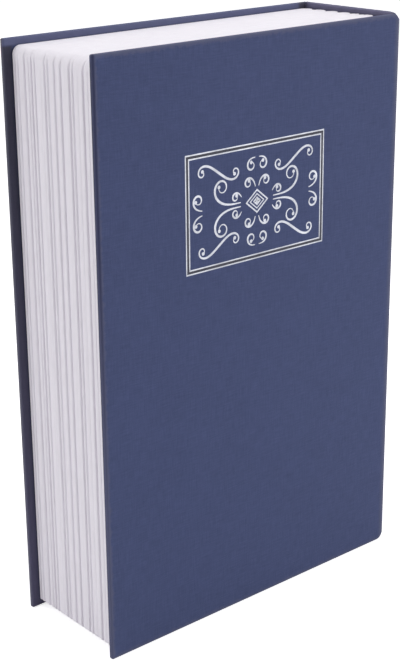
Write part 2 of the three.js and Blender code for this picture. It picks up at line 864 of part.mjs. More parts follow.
// Front cover
const frontEnd = WIDTH - JOINT_RADIUS - JOINT_GAP;
add("front_board", coverBoard(0, 1, frontEnd), greyboard);
add("front_cloth", coverCloth(0, 1, frontEnd, frontEnd), cloth);
add("front_endpaper", endpaper(0, 1, frontEnd), paper);

// Spine
add("spine_board", spineBoard(), greyboard);
add("spine_cloth", spineCloth(), cloth);
add("spine_lining", spineLining(), lining);

// Back cover
const backEnd = foldX - BACK_BOARD_SETBACK;
add("back_board", coverBoard(THICKNESS, -1, backEnd), greyboard);
add("back_cloth", coverCloth(THICKNESS, -1, backEnd, foldX - FOLD_GAP), cloth);
add("back_endpaper", endpaper(THICKNESS, -1, backEnd), paper);

// Page block and steel box
add("page_frame", pageFrame(), pages);
add("box_body", boxBody(), paintedSteel);
add("box_liner", boxLiner(), felt);
add("strike_plate", strikePlate(), plainSteel);
screwPlaces.forEach(([x, z], i) => {
  add(`box_screw_${i + 1}`, boxScrew(x, z), plainSteel);
});

// Hinge
add("box_hinge_leaf", hingeLeaf(false), plainSteel);
add("lid_hinge_leaf", hingeLeaf(true), plainSteel);
add("hinge_pin", hingePin(), plainSteel);
rivetZ.forEach((z, i) => {
  add(`box_rivet_${i + 1}`, rivet(rivetFlangeX, z, flangeBack, false), plainSteel);
  add(`lid_rivet_${i + 1}`, rivet(rivetLidX, z, lidBack, true), plainSteel);
});

// Lid and lock
add("lid_panel", lidPanel(), paintedSteel);
add("lock_housing", lockHousing(), chrome);
add("lock_washer", lockWasher(), plainSteel);
add("lock_nut", lockNut(), plainSteel);
add("lock_plug", lockPlug(), chrome);
add("lock_cam", lockCam(), plainSteel);
add("cam_screw", camScrew(), plainSteel);

// The part's own origin is the middle of its base.
book.position.set(-WIDTH / 2, -THICKNESS / 2, 0);

export default book;
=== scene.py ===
"""A book that hides a lockable steel box, dressed for its photograph.

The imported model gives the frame. Shapes here are worked out in the book's own
millimetres, measured from the closed case's corner at the fore-edge, the front cover
and the tail: x runs to the spine, y to the back cover and z to the head. to_part()
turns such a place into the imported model's metres.
"""

import logging
import math
from dataclasses import dataclass
from enum import Enum
from functools import cached_property

import bmesh
import bpy
import numpy as np
from mathutils import Matrix, Vector


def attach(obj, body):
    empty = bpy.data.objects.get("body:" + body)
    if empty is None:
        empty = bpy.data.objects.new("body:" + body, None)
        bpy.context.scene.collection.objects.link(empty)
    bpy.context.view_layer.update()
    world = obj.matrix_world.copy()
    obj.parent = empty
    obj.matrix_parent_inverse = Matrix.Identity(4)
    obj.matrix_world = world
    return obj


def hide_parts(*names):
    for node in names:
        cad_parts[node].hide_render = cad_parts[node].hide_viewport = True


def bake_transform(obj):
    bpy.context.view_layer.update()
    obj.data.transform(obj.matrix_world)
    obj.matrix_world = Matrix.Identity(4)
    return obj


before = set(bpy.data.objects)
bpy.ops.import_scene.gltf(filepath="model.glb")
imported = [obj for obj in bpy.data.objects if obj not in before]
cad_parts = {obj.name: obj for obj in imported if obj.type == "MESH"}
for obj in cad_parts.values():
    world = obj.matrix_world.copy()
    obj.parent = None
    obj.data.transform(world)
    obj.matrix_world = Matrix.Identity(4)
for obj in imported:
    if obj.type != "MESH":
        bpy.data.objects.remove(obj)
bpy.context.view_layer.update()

log = logging.getLogger("book")
MM = 0.001
SIDE_POINTS = 24
ROUND_STEPS = 8
DRILL_SIDES = 24
SMALLEST_TURN = 0.02
WELD = 1e-7
SHEET_WELD = 1e-6
SMOOTH = 40.0
FLOAT = "NodeSocketFloat"
VECTOR = "NodeSocketVector"
EVEN = (1.0, 1.0, 1.0)
WHITE = (1.0, 1.0, 1.0, 1.0)
Span = tuple[float, float]
Triple = tuple[float, float, float]
Outline = list[Span]
Rows = list[tuple[Outline, float]]
ClothRow = list[tuple[Triple, Span]]
Loop = list[bmesh.types.BMVert]
Piece = bpy.types.Object
Socket = bpy.types.NodeSocket


def narrowed(span: Span, by: float) -> Span:
    """A span drawn in by as much at both ends."""
    return span[0] + by, span[1] - by


def softened(share: float) -> float:
    """A share held to 0..1, with a soft start and a soft end."""
    held = min(max(share, 0.0), 1.0)
    return held * held * (3 - 2 * held)


def quarter(steps: int) -> list[float]:
    """Angles through a quarter turn."""
    return [i / steps * math.pi / 2 for i in range(steps + 1)]


@dataclass(frozen=True)
class BookSizes:
    """Sizes that more than one sub-assembly uses, in millimetres."""

    height: float = 240.0
    width: float = 161.0
    thickness: float = 57.5
    board: float = 1.5
    cloth: float = 0.4
    paper: float = 0.2
    clearance: float = 0.3
    joint_radius: float = 5.0
    fore_margin: float = 3.5
    head_margin: float = 2.8
    tail_margin: float = 2.9
    spine_clearance: float = 0.8
    side_rim: float = 17.2
    end_rim: float = 16.55
    steel: float = 1.0
    flange: float = 7.0
    box_corner: float = 4.0
    recess: float = 3.2
    lid_gap: float = 0.6
    lid_steel: float = 1.2
    lid_depth: float = 6.0
    edge_gap: float = 0.4
    leaf: float = 0.8
    knuckle_radius: float = 2.0
    hinge_rise: float = 0.7
    hinge_inset: float = 7.0
    rivets: int = 4
    rivet_hole: float = 1.2
    lock_inset: float = 13.5

    @property
    def cover_depth(self) -> float:
        """Thickness of a wrapped cover."""
        return self.board + 2 * self.cloth

    @property
    def block_y(self) -> Span:
        """Front and back face of the page block."""
        front = self.cover_depth + self.paper + self.clearance
        return front, self.thickness - self.cover_depth - self.paper

    @property
    def block_z(self) -> Span:
        """Tail and head of the page block."""
        return self.tail_margin, self.height - self.head_margin

    @property
    def block_spine(self) -> float:
        """Spine side of the page block."""
        return self.width - self.cover_depth - self.spine_clearance

    @property
    def box_x(self) -> Span:
        """Outside of the steel box, from fore-edge to spine."""
        return narrowed((self.fore_margin, self.block_spine), self.side_rim)

    @property
    def box_z(self) -> Span:
        """Outside of the steel box, from tail to head."""
        return narrowed(self.block_z, self.end_rim)

    @property
    def mouth_x(self) -> Span:
        """Inside of the steel box, from fore-edge to spine."""
        return narrowed(self.box_x, self.steel)

    @property
    def mouth_z(self) -> Span:
        """Inside of the steel box, from tail to head."""
        return narrowed(self.box_z, self.steel)

    @property
    def flange_front(self) -> float:
        """Front face of the box's flange and of the lid."""
        return self.block_y[0] + self.recess

    @property
    def flange_back(self) -> float:
        """Back face of the flange."""
        return self.flange_front + self.steel

    @property
    def flange_box(self) -> tuple[Span, Span]:
        """Sides and ends of the flange."""
        return narrowed(self.box_x, -self.flange), narrowed(self.box_z, -self.flange)

    @property
    def screw_lines(self) -> tuple[Span, Span]:
        """Where the screws stand in the flange: both columns, both rows."""
        return narrowed(self.box_x, -self.flange / 2), narrowed(self.box_z, -self.flange / 2)

    @property
    def screw_places(self) -> Outline:
        """Middle of each screw in the flange."""
        columns, rows = self.screw_lines
        return [(x, z) for x in columns for z in rows]

    @property
    def hinge_x(self) -> float:
        """Axis of the lid's hinge."""
        return self.mouth_x[1] - self.lid_gap - self.knuckle_radius

    @property
    def hinge_y(self) -> float:
        """Axis of the lid's hinge."""
        return self.flange_front - self.hinge_rise

    @property
    def hinge_z(self) -> Span:
        """Both ends of the hinge."""
        return narrowed(self.mouth_z, self.hinge_inset)

    @property
    def lid_x(self) -> Span:
        """Sides of the lid, from fore-edge to hinge."""
        return self.mouth_x[0] + self.lid_gap, self.hinge_x - self.knuckle_radius - self.edge_gap

    @property
    def lid_z(self) -> Span:
        """Ends of the lid."""
        return narrowed(self.mouth_z, self.lid_gap)

    @property
    def rivet_x(self) -> Span:
        """Rivets of the lid's leaf and of the box's leaf."""
        return self.lid_x[1] - self.flange / 2, self.box_x[1] + self.flange / 2

    @property
    def rivet_z(self) -> list[float]:
        """Heights of the rivets along each leaf."""
        start, end = self.hinge_z
        return [start + (i + 0.5) * (end - start) / self.rivets for i in range(self.rivets)]

    @property
    def lock(self) -> Span:
        """Axis of the lock, half-way up the page block."""
        return self.mouth_x[0] + self.lock_inset, sum(self.block_z) / 2


BOOK = BookSizes()


def to_part(x: float, y: float, z: float) -> Vector:
    """Turn a place in the book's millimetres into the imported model's metres.

    Args:
        x: From the fore-edge to the spine.
        y: From the front cover to the back cover.
        z: From the tail to the head.

    Returns:
        The place as a vector.
    """
    return Vector(((x - BOOK.width / 2) * MM, (y - BOOK.thickness / 2) * MM, z * MM))


def spaced(start: float, end: float, step: float) -> list[float]:
    """Evenly spaced values from start to end, both included, at most a step apart."""
    count = max(1, math.ceil(abs(end - start) / step))
    return [start + (end - start) * i / count for i in range(count + 1)]


def rounded(x: Span, z: Span, radius: float, inset: float = 0.0) -> Outline:
    """Outline of a rectangle with round corners.

    Args:
        x: Both sides.
        z: Both ends.
        radius: Corner radius before the inset.
        inset: How far the outline is drawn in.

    Returns:
        Points in order, the same number for every inset.
    """
    turn = max(radius - inset, SMALLEST_TURN)
    left, right = narrowed(x, inset + turn)
    low, high = narrowed(z, inset + turn)
    points = []
    for corner, (a, b) in enumerate(((right, high), (left, high), (left, low), (right, low))):
        for i in range(ROUND_STEPS + 1):
            angle = (corner + i / ROUND_STEPS) * math.pi / 2
            points.append((a + turn * math.cos(angle), b + turn * math.sin(angle)))
    return points


def circle(x: float, z: float, radius: float, sides: int = 32) -> Outline:
    """Outline of a circle."""
    turns = [2 * math.pi * i / sides for i in range(sides)]
    return [(x + radius * math.cos(turn), z + radius * math.sin(turn)) for turn in turns]


def clipped(outline: Outline, x: Span) -> Outline:
    """Flatten an outline against two sides."""
    return [(min(max(px, x[0]), x[1]), pz) for px, pz in outline]


def divided(corners: Outline, count: int = SIDE_POINTS) -> Outline:
    """Put points along the sides of a closed outline of straight lines."""
    points = []
    for (x, z), (next_x, next_z) in zip(corners, corners[1:] + corners[:1]):
        for share in (k / count for k in range(count)):
            points.append((x + (next_x - x) * share, z + (next_z - z) * share))
    return points


def box_path(x: Span, z: Span, inset: float) -> Outline:
    """A rectangle's outline with as many points along each side."""
    (left, right), (low, high) = narrowed(x, inset), narrowed(z, inset)
    return divided([(left, low), (right, low), (right, high), (left, high)])


def lozenge(x: float, z: float, wide: float, tall: float) -> Outline:
    """A lozenge's outline with as many points along each side."""
    return divided([(x + wide, z), (x, z + tall), (x - wide, z), (x, z - tall)])


class Facing(Enum):
    """How the loops of a built shape lie: which of first, second and depth is x, y, z."""

    COVER = (0, 2, 1)
    SPINE = (2, 0, 1)
    HEAD = (0, 1, 2)


class Shape:
    """Joins loops of points into one closed surface."""

    def __init__(self, facing: Facing = Facing.COVER) -> None:
        """Start an empty shape whose loops lie as facing says."""
        self.facing = facing
        self.mesh = bmesh.new()

    def place(self, first: float, second: float, depth: float) -> Vector:
        """Place of a point that is given in the loops' own directions."""
        given = (first, second, depth)
        return to_part(*(given[i] for i in self.facing.value))

    def wall(self, first: Loop, second: Loop) -> None:
        """Join two loops that have the same number of points."""
        for i, point in enumerate(first):
            k = (i + 1) % len(first)
            self.mesh.faces.new((point, first[k], second[k], second[i]))

    def tube(self, rows: Rows) -> tuple[Loop, Loop]:
        """Join a row of like outlines.

        Args:
            rows: Each outline with its depth, in order.

        Returns:
            The first and the last loop.
        """
        loops = [
            [self.mesh.verts.new(self.place(a, b, depth)) for a, b in outline]
            for outline, depth in rows
        ]
        for first, second in zip(loops, loops[1:]):
            self.wall(first, second)
        return loops[0], loops[-1]

    def plane(self, *loops: Loop) -> None:
        """Fill the flat face between an outer loop and the holes in it."""
        edges = []
        for points in loops:
            for pair in zip(points, points[1:] + points[:1]):
                edges.append(self.mesh.edges.get(pair) or self.mesh.edges.new(pair))
        bmesh.ops.triangle_fill(self.mesh, use_beauty=True, use_dissolve=False, edges=edges)

    def capped(self, rows: Rows) -> None:
        """Join a row of like outlines and close both ends."""
        for end in self.tube(rows):
            self.plane(end)

    def bored(self, outer: Rows, inner: Rows) -> None:
        """Join two rows of outlines, one inside the other, and the faces between them."""
        for pair in zip(self.tube(outer), self.tube(inner)):
            self.plane(*pair)

    def sunk(self, rows: Rows) -> Loop:
        """Sink a blind hole and return its mouth."""
        mouth, end = self.tube(rows)
        self.plane(end)
        return mouth

    def pierced(
        self, fronts: list[Loop], rears: list[Loop], holes: list[Triple], depths: Span
    ) -> None:
        """Close two faces round the holes that go through both.

        Args:
            fronts: Loops in the front face.
            rears: Loops in the rear face.
            holes: Middle and radius of each hole.
            depths: Depth of each face.
        """
        ends = [self.tube(drilled(*hole, depths)) for hole in holes]
        self.plane(*fronts, *(near for near, _ in ends))
        self.plane(*rears, *(far for _, far in ends))

    def tip(self, points: Loop, place: Vector) -> None:
        """Close a loop with a fan of triangles round one point."""
        top = self.mesh.verts.new(place)
        for pair in zip(points, points[1:] + points[:1]):
            self.mesh.faces.new((*pair, top))

    def turned(self, x: float, z: float, profile: Outline, sides: int = 32) -> None:
        """Turn a closed profile round an axis along the loops' depth.

        Args:
            x: Axis.
            z: Axis.
            profile: Radius and depth, the first and last radius being 0.
            sides: Number of points in each loop.
        """
        ends = self.tube([(circle(x, z, radius, sides), y) for radius, y in profile[1:-1]])
        for points, (_, depth) in zip(ends, (profile[0], profile[-1])):
            self.tip(points, self.place(x, z, depth))

    def finish(self, name: str, angle: float = SMOOTH) -> Piece:
        """Turn the shape into a mesh object.

        Args:
            name: Name of the piece.
            angle: Edges sharper than this stay sharp, in degrees.

        Returns:
            The object, linked to the scene.
        """
        bmesh.ops.remove_doubles(self.mesh, verts=self.mesh.verts, dist=WELD)
        bmesh.ops.recalc_face_normals(self.mesh, faces=self.mesh.faces)
        return as_object(name, as_data(name, self.mesh), angle)


def drilled(x: float, z: float, radius: float, depths: Span) -> Rows:
    """Outlines of a round hole."""
    return [(circle(x, z, radius, DRILL_SIDES), depth) for depth in depths]


def solid(
    name: str,
    outer: Rows,
    bore: Rows | None = None,
    facing: Facing = Facing.COVER,
    angle: float = SMOOTH,
) -> Piece:
    """Make a piece from a row of like outlines.

    Args:
        name: Name of the piece.
        outer: Its outside.
        bore: A hole from end to end, or none.
        facing: How the outlines lie.
        angle: Edges sharper than this stay sharp, in degrees.

    Returns:
        The piece.
    """
    shape = Shape(facing)
    if bore:
        shape.bored(outer, bore)
    else:
        shape.capped(outer)
    return shape.finish(name, angle)


def as_data(name: str, mesh: bmesh.types.BMesh) -> bpy.types.Mesh:
    """Keep a mesh in the making under a name."""
    data = bpy.data.meshes.new(name)
    mesh.to_mesh(data)
    mesh.free()
    return data


def placed(name: str, data: bpy.types.ID) -> Piece:
    """Put an object with this data into the scene."""
    made = bpy.data.objects.new(name, data)
    bpy.context.scene.collection.objects.link(made)
    return made


def as_object(name: str, data: bpy.types.Mesh, angle: float = SMOOTH) -> Piece:
    """Put a mesh into the scene, smooth up to an angle in degrees."""
    data.shade_smooth()
    data.set_sharp_from_angle(angle=math.radians(angle))
    return placed(name, data)


def settled(piece: Piece) -> Piece:
    """Turn a piece with modifiers into a plain mesh of the same name.

    Args:
        piece: The object, whose modifiers are used up.

    Returns:
        The new object.
    """
    name, old = piece.name, piece.data
    evaluated = piece.evaluated_get(bpy.context.evaluated_depsgraph_get())
    data = bpy.data.meshes.new_from_object(evaluated)
    bpy.data.objects.remove(piece)
    bpy.data.meshes.remove(old)
    data.name = name
    return as_object(name, data)


def joined(first: Piece, second: Piece) -> Piece:
    """Fuse two closed pieces into one surface, under the first one's name."""
    union = first.modifiers.new("union", "BOOLEAN")
    union.operation = "UNION"
    union.solver = "EXACT"
    union.object = second
    made = settled(first)
    bpy.data.objects.remove(second)
    return made


def linear(colour: Triple) -> tuple[float, float, float, float]:
    """Turn a colour in 0..255 into the shader's own scale."""
    shares = [c / 255 for c in colour]
    return (*[s / 12.92 if s <= 0.04045 else ((s + 0.055) / 1.055) ** 2.4 for s in shares], 1.0)


class Wiring:
    """Adds and joins the nodes of one tree."""

    def __init__(self, tree: bpy.types.NodeTree) -> None:
        """Work on this tree."""
        self.tree = tree

    def feed(self, socket: Socket, value: object) -> None:
        """Join an output to a socket, or set the socket's own value."""
        if isinstance(value, bpy.types.NodeSocket):
            self.tree.links.new(value, socket)
        else:
            socket.default_value = value

    def node(self, kind: str, feeds: dict | None = None, **values: object) -> bpy.types.Node:
        """Add a node.

        Args:
            kind: Its type.
            feeds: What its sockets get, by name or number.
            values: Its properties.

        Returns:
            The node.
        """
        made = self.tree.nodes.new(kind)
        for name, value in values.items():
            setattr(made, name, value)
        for name, value in (feeds or {}).items():
            self.feed(made.inputs[name], value)
        return made

    def math(self, operation: str, value: object, *others: object) -> Socket:
        """Add Math nodes that take in one value after another.

        Args:
            operation: Their operation.
            value: The first value or output.
            others: The next ones, or none for an operation on one value.

        Returns:
            The last node's output.
        """
        for feeds in [{1: other} for other in others] or [{}]:
            made = self.node("ShaderNodeMath", {0: value, **feeds}, operation=operation)
            value = made.outputs[0]
        return value

    def times(self, *values: object) -> Socket:
        """Multiply values with each other."""
        return self.math("MULTIPLY", *values)

    def vector(self, operation: str, first: object, second: object) -> Socket:
        """Add a Vector Math node and return its vector output."""
        feeds = {0: first, 1: second}
        return self.node("ShaderNodeVectorMath", feeds, operation=operation).outputs[0]

    def split(self, vector: Socket) -> list[Socket]:
        """Take a vector apart into x, y and z."""
        return list(self.node("ShaderNodeSeparateXYZ", {0: vector}).outputs)

    def noise(self, vector: Socket, scale: object, detail: float) -> Socket:
        """Add a Noise texture and return its value."""
        feeds = {"Vector": vector, "Scale": scale, "Detail": detail}
        return self.node("ShaderNodeTexNoise", feeds).outputs["Fac"]

    def stretch(
        self, value: object, low: float, high: float, start: float = 0.0, end: float = 1.0
    ) -> Socket:
        """Map a value from low..high to start..end, held at both ends."""
        feeds = dict(enumerate((value, low, high, start, end)))
        return self.node("ShaderNodeMapRange", feeds).outputs[0]

    def blend(self, share: object, first: object, second: object) -> Socket:
        """Mix two colours, each an output or a colour in 0..255."""
        feeds = {0: share}
        for socket, colour in ((6, first), (7, second)):
            feeds[socket] = linear(colour) if isinstance(colour, tuple) else colour
        return self.node("ShaderNodeMix", feeds, data_type="RGBA").outputs[2]


def effect(name: str, inputs: dict[str, str], *outputs: str) -> tuple:
    """Start a shader node group that several materials share.

    Args:
        name: Its name.
        inputs: Socket names with their types.
        outputs: Names of the values that it gives.

    Returns:
        The wiring of the group, what it is given, and the sockets of its results.
    """
    tree = bpy.data.node_groups.new(name, "ShaderNodeTree")
    for side, sockets in (("INPUT", inputs), ("OUTPUT", dict.fromkeys(outputs, FLOAT))):
        for label, kind in sockets.items():
            tree.interface.new_socket(label, in_out=side, socket_type=kind)
    wiring = Wiring(tree)
    given = wiring.node("NodeGroupInput").outputs[: len(inputs)]
    return wiring, given, wiring.node("NodeGroupOutput").inputs


class Effects:
    """The shader node groups, each built once."""

    def __init__(self) -> None:
        """Build all groups."""
        self.weave = self.make_weave()
        self.mottle = self.make_mottle()
        self.wear = self.make_wear()

    @staticmethod
    def make_weave() -> bpy.types.NodeTree:
        """Plain weave of two sets of threads, with slubs.

        Returns:
            A group that gives the threads' height and the slubs' tone.
        """
        ripples, ripple_size, dip = 260.0, 0.00035, 0.4
        slub_scales = ((150.0, 1900.0, 1.0), (1900.0, 150.0, 1.0))
        slub_span = (0.3, 0.7)
        inputs = {"Vector": VECTOR, "Pitch": FLOAT}
        wiring, (where, pitch), result = effect("plain_weave", inputs, "Height", "Tone")
        ripple = wiring.node("ShaderNodeTexNoise", {"Vector": where, "Scale": ripples})
        feeds = {0: ripple.outputs["Color"], "Scale": ripple_size}
        shift = wiring.node("ShaderNodeVectorMath", feeds, operation="SCALE").outputs[0]
        flat = wiring.split(wiring.vector("ADD", where, shift))[:2]
        counts = [wiring.math("DIVIDE", place, pitch) for place in flat]
        waves = [wiring.math("SINE", wiring.times(count, math.pi)) for count in counts]
        warp, weft = [wiring.math("ABSOLUTE", wave) for wave in waves]
        cells = wiring.math("ADD", *[wiring.math("FLOOR", count) for count in counts])
        feeds = {0: wiring.math("FLOORED_MODULO", cells, 2.0)}
        for socket, own, other in ((2, warp, weft), (3, weft, warp)):
            feeds[socket] = wiring.times(own, wiring.stretch(other, 0, 1, dip, 1))
        wiring.feed(result["Height"], wiring.node("ShaderNodeMix", feeds).outputs[0])
        drawn = [wiring.vector("MULTIPLY", where, scales) for scales in slub_scales]
        slubs = [wiring.noise(place, 1.0, 3.0) for place in drawn]
        tone = wiring.times(wiring.math("ADD", *slubs), 0.5)
        wiring.feed(result["Tone"], wiring.stretch(tone, *slub_span))
        return wiring.tree

    @staticmethod
    def make_mottle() -> bpy.types.NodeTree:
        """Uneven tone in two sizes, which may be drawn out along one direction.

        Returns:
            A group that gives a tone from 0 to 1 and a fine height.
        """
        finer, tone_span = 6.0, (0.32, 0.68)
        inputs = {"Vector": VECTOR, "Stretch": VECTOR, "Scale": FLOAT}
        wiring, (where, stretch, scale), result = effect("mottle", inputs, "Tone", "Height")
        drawn = wiring.vector("MULTIPLY", where, stretch)
        broad = wiring.noise(drawn, scale, 4.0)
        fine = wiring.noise(drawn, wiring.times(scale, finer), 3.0)
        both = wiring.times(wiring.math("ADD", broad, fine), 0.5)
        wiring.feed(result["Tone"], wiring.stretch(both, *tone_span))
        wiring.feed(result["Height"], fine)
        return wiring.tree

    @staticmethod
    def make_wear() -> bpy.types.NodeTree:
        """Rubbing along the edges of a box-shaped piece.

        Returns:
            A group that gives a mask, 1 where an edge is rubbed.
        """
        ragged, fade = 420.0, (0.4, 1.6)
        inputs = {"Vector": VECTOR, "Low": VECTOR, "High": VECTOR, "Width": FLOAT}
        wiring, (where, low, high, width), result = effect("edge_wear", inputs, "Mask")
        below = wiring.vector("SUBTRACT", where, low)
        above = wiring.vector("SUBTRACT", high, where)
        near = wiring.split(wiring.vector("MINIMUM", below, above))
        ends = [wiring.math(operation, *near) for operation in ("MAXIMUM", "MINIMUM")]
        second = wiring.math("SUBTRACT", wiring.math("ADD", *near), *ends)
        reach = wiring.times(width, wiring.noise(where, ragged, 4.0))
        share = wiring.math("DIVIDE", second, reach)
        wiring.feed(result["Mask"], wiring.stretch(share, *fade, 1.0, 0.0))
        return wiring.tree


class Coat(Wiring):
    """A material in the making: its tree, its shader and what it reads."""

    def __init__(self, name: str, **constants: object) -> None:
        """Start a material whose shader has these constants, with _ for blanks."""
        self.material = bpy.data.materials.new(name)
        self.material.use_nodes = True
        super().__init__(self.material.node_tree)
        self.shader = self.tree.nodes["Principled BSDF"].inputs
        for label, value in constants.items():
            self.shader[label.replace("_", " ")].default_value = value

    @cached_property
    def where(self) -> Socket:
        """Places on the object."""
        return self.node("ShaderNodeTexCoord").outputs["Object"]

    def group(self, tree: bpy.types.NodeTree, **values: object) -> bpy.types.NodeOutputs:
        """Place a shared group, set its inputs and return its outputs."""
        return self.node("ShaderNodeGroup", values, node_tree=tree).outputs

    def join(self, label: str, value: Socket) -> None:
        """Join an output to one of the shader's sockets."""
        self.feed(self.shader[label], value)

    def emboss(self, height: Socket, distance: float, strength: float) -> None:
        """Join a height from 0 to 1 to the normal; 1 stands for a distance in metres."""
        feeds = {"Distance": distance, "Strength": strength, "Height": height}
        self.join("Normal", self.node("ShaderNodeBump", feeds).outputs["Normal"])


@dataclass(frozen=True)
class PaintedLightAndWear:
    """Where the cloth gets painted light and shade and its arris tones, in metres, and how
    strongly.
    """

    turned_in: float = 0.0008
    # Reach of the painted light on the turned-in cloth at the head.
    head: Span = (0.0024, 0.0034)
    # Reach of the painted shade beside the page block at the fore-edge and tail, on the fore-edge
    # rim and in the back fold.
    margin: Span = (0.003, 0.005)
    rim: Span = (0.0004, 0.001)
    rim_shares: Span = (0.4, 0.9)
    fold_far: Span = (0.0058, 0.0074)
    fold_near: Span = (0.0022, 0.003)
    fold_back: Span = (-0.004, -0.0028)
    # Reach and share of the painted light near the spine's head.
    spine: Span = (0.0026, 0.0034)
    spine_share: float = 0.75
    # Reach and share of the painted sheen on the front cover's soft corner.
    corner_side: Span = (0.0034, 0.0062)
    corner_share: float = 0.42
    corner_face: Span = (0.0006, 0.0038)
    # Height over which the painted shade goes from its tail colour to its darker colour.
    shade_blend_height: float = 0.2
    # Reach and share of the lighter grey given to the painted shade on the back cover's rim face.
    rim_lift: Span = (0.0004, 0.0026)
    rim_lift_share: float = 0.5
    arris: Span = (0.0005, 0.0012)
    arris_share: float = 0.8
    upper: Span = (0.07, 0.17)
    strength: float = 0.9
    # Colour of the painted light near the spine's head.
    pale: Triple = (122, 117, 142)
    # Colour of the painted sheen on the front cover's soft corner.
    corner_sheen: Triple = (103, 101, 112)
    # Lighter grey of the painted shade on the back cover's rim face.
    rim_lit: Triple = (126, 124, 134)
    arris_low: Triple = (88, 92, 122)
    arris_high: Triple = (54, 58, 92)
    arris_back: Triple = (126, 124, 128)


@dataclass(frozen=True)
class ClothFinish:
    """Book cloth or lining: woven, dyed, rubbed along the case's edges, with painted light and
    shade on its turned-in parts.
    """

    name: str
    dark: Triple
    light: Triple
    rubbed: Triple
    # Colour of the painted light on the turned-in cloth at the head.
    lit_head: Triple
    # Colours of the painted shade beside the page block and in the fold: the darker one, and the
    # one at the tail.
    shade_dark: Triple
    shade_low: Triple
    pitch: float = 0.00045
    relief: float = 0.00009
    follows_surface: bool = True
    inner_from: float = 0.001
    patch_scale: float = 45.0
    tone_shares: Triple = (0.55, 0.35, 0.15)
    edge: float = 0.0024
    edge_share: float = 0.7
    roughness: Span = (0.86, 0.72)
    strength: float = 0.8
    age: PaintedLightAndWear = PaintedLightAndWear()

    def painted_light_and_shade(self, coat: Coat, where: Socket, colour: Socket) -> Socket:
        """Paint light on the turned-in cloth at the head and near the spine, a sheen on the front's
        soft corner, and shade at the fore-edge, tail and fold.

        Args:
            coat: The material.
            where: Places at rest.
            colour: The dyed cloth.

        Returns:
            The colour with painted light and shade, and the arris tones.
        """
        age, work, times, stretch = self.age, coat.math, coat.times, coat.stretch
        half_wide, half_deep = BOOK.width / 2 * MM, BOOK.thickness / 2 * MM
        x, y, z = coat.split(where)
        from_face = work("SUBTRACT", half_deep, work("ABSOLUTE", y))
        from_spine = work("SUBTRACT", half_wide, x)
        from_fore = work("ADD", x, half_wide)
        from_head = work("SUBTRACT", BOOK.height * MM, z)
        behind = work("GREATER_THAN", y, 0.0)
        nearest = work("MINIMUM", from_face, from_spine)
        inner = stretch(nearest, self.inner_from, self.inner_from + age.turned_in)
        # Painted light on the turned-in cloth at the head.
        head = times(inner, stretch(from_head, *age.head, 1, 0))
        # Painted shade on the turned-in cloth and rim beside the page block, at the fore-edge and
        # tail.
        margin = stretch(work("MINIMUM", from_fore, z), *age.margin, 1, 0)
        rim = times(stretch(from_fore, *age.rim, 1, 0), stretch(behind, 0, 1, *age.rim_shares))
        fore = times(margin, work("MAXIMUM", inner, rim))
        # Painted shade in the back fold.
        far, near = stretch(from_spine, *age.fold_far, 1, 0), stretch(from_spine, *age.fold_near)
        at_back = stretch(y, *(half_deep + edge for edge in age.fold_back))
        fold = times(far, near, at_back, inner)
        # Painted light, paler, near the spine's head.
        at_spine = stretch(from_spine, *age.spine, age.spine_share, 0)
        pale = coat.blend(at_spine, self.lit_head, age.pale)
        painted_light = coat.blend(times(head, age.strength), colour, pale)
        # Painted sheen on the front cover's soft corner.
        corner = stretch(from_spine, *age.corner_side, age.corner_share, 0)
        before = work("SUBTRACT", 1.0, behind)
        soft = times(before, corner, stretch(from_face, *age.corner_face, 1, 0))
        painted_light = coat.blend(soft, painted_light, age.corner_sheen)
        # Painted shade: where it lies and its colour, lighter towards the tail.
        shade_share = work("MAXIMUM", times(fore, work("SUBTRACT", 1.0, head)), fold)
        shade_tone = coat.blend(stretch(z, 0.0, age.shade_blend_height), self.shade_low, self.shade_dark)
        # The painted shade turns a lighter grey on the back cover's rim face.
        rim_lift = times(behind, stretch(from_face, *age.rim_lift, age.rim_lift_share, 0))
        shade_tone = coat.blend(rim_lift, shade_tone, age.rim_lit)
        painted_light_and_shade = coat.blend(times(shade_share, age.strength), painted_light, shade_tone)
        # Arris tones: the front cover's arris darker towards the head and lighter towards the tail,
        # the back cover's lighter.
        near_arris = work("MAXIMUM", from_fore, from_face)
        front = coat.blend(stretch(z, *age.upper), age.arris_low, age.arris_high)
        tone = coat.blend(behind, front, age.arris_back)
        return coat.blend(stretch(near_arris, *age.arris, age.arris_share, 0), painted_light_and_shade, tone)

    def build(self, effects: Effects) -> bpy.types.Material:
        """Make the material from the shared groups."""
        coat = Coat(self.name, Roughness=0.82, Sheen_Weight=0.03, Specular_IOR_Level=0.25)
        if self.follows_surface:
            flat = coat.node("ShaderNodeUVMap", uv_map="cloth").outputs[0]
            where = coat.node("ShaderNodeAttribute", attribute_name="rest").outputs["Vector"]
        else:
            where = coat.where
            x, y, z = coat.split(where)
            slant = coat.math("ADD", x, y)
            flat = coat.node("ShaderNodeCombineXYZ", {0: slant, 1: z}).outputs[0]
        weave = coat.group(effects.weave, Vector=flat, Pitch=self.pitch)
        mottle = {"Vector": where, "Stretch": EVEN, "Scale": self.patch_scale}
        patches = coat.group(effects.mottle, **mottle)
        values = (weave["Tone"], weave["Height"], patches["Tone"])
        tone = coat.math("ADD", *map(coat.times, values, self.tone_shares))
        dyed = coat.blend(tone, self.dark, self.light)
        high = to_part(BOOK.width, BOOK.thickness, BOOK.height)
        box = {"Low": to_part(0, 0, 0), "High": high}
        wear = coat.group(effects.wear, Vector=where, Width=self.edge, **box)
        worn = coat.blend(coat.times(wear["Mask"], self.edge_share), dyed, self.rubbed)
        coat.join("Base Color", self.painted_light_and_shade(coat, where, worn))
        coat.join("Roughness", coat.stretch(weave["Tone"], 0, 1, *self.roughness))
        coat.emboss(weave["Height"], self.relief, self.strength)
        return coat.material


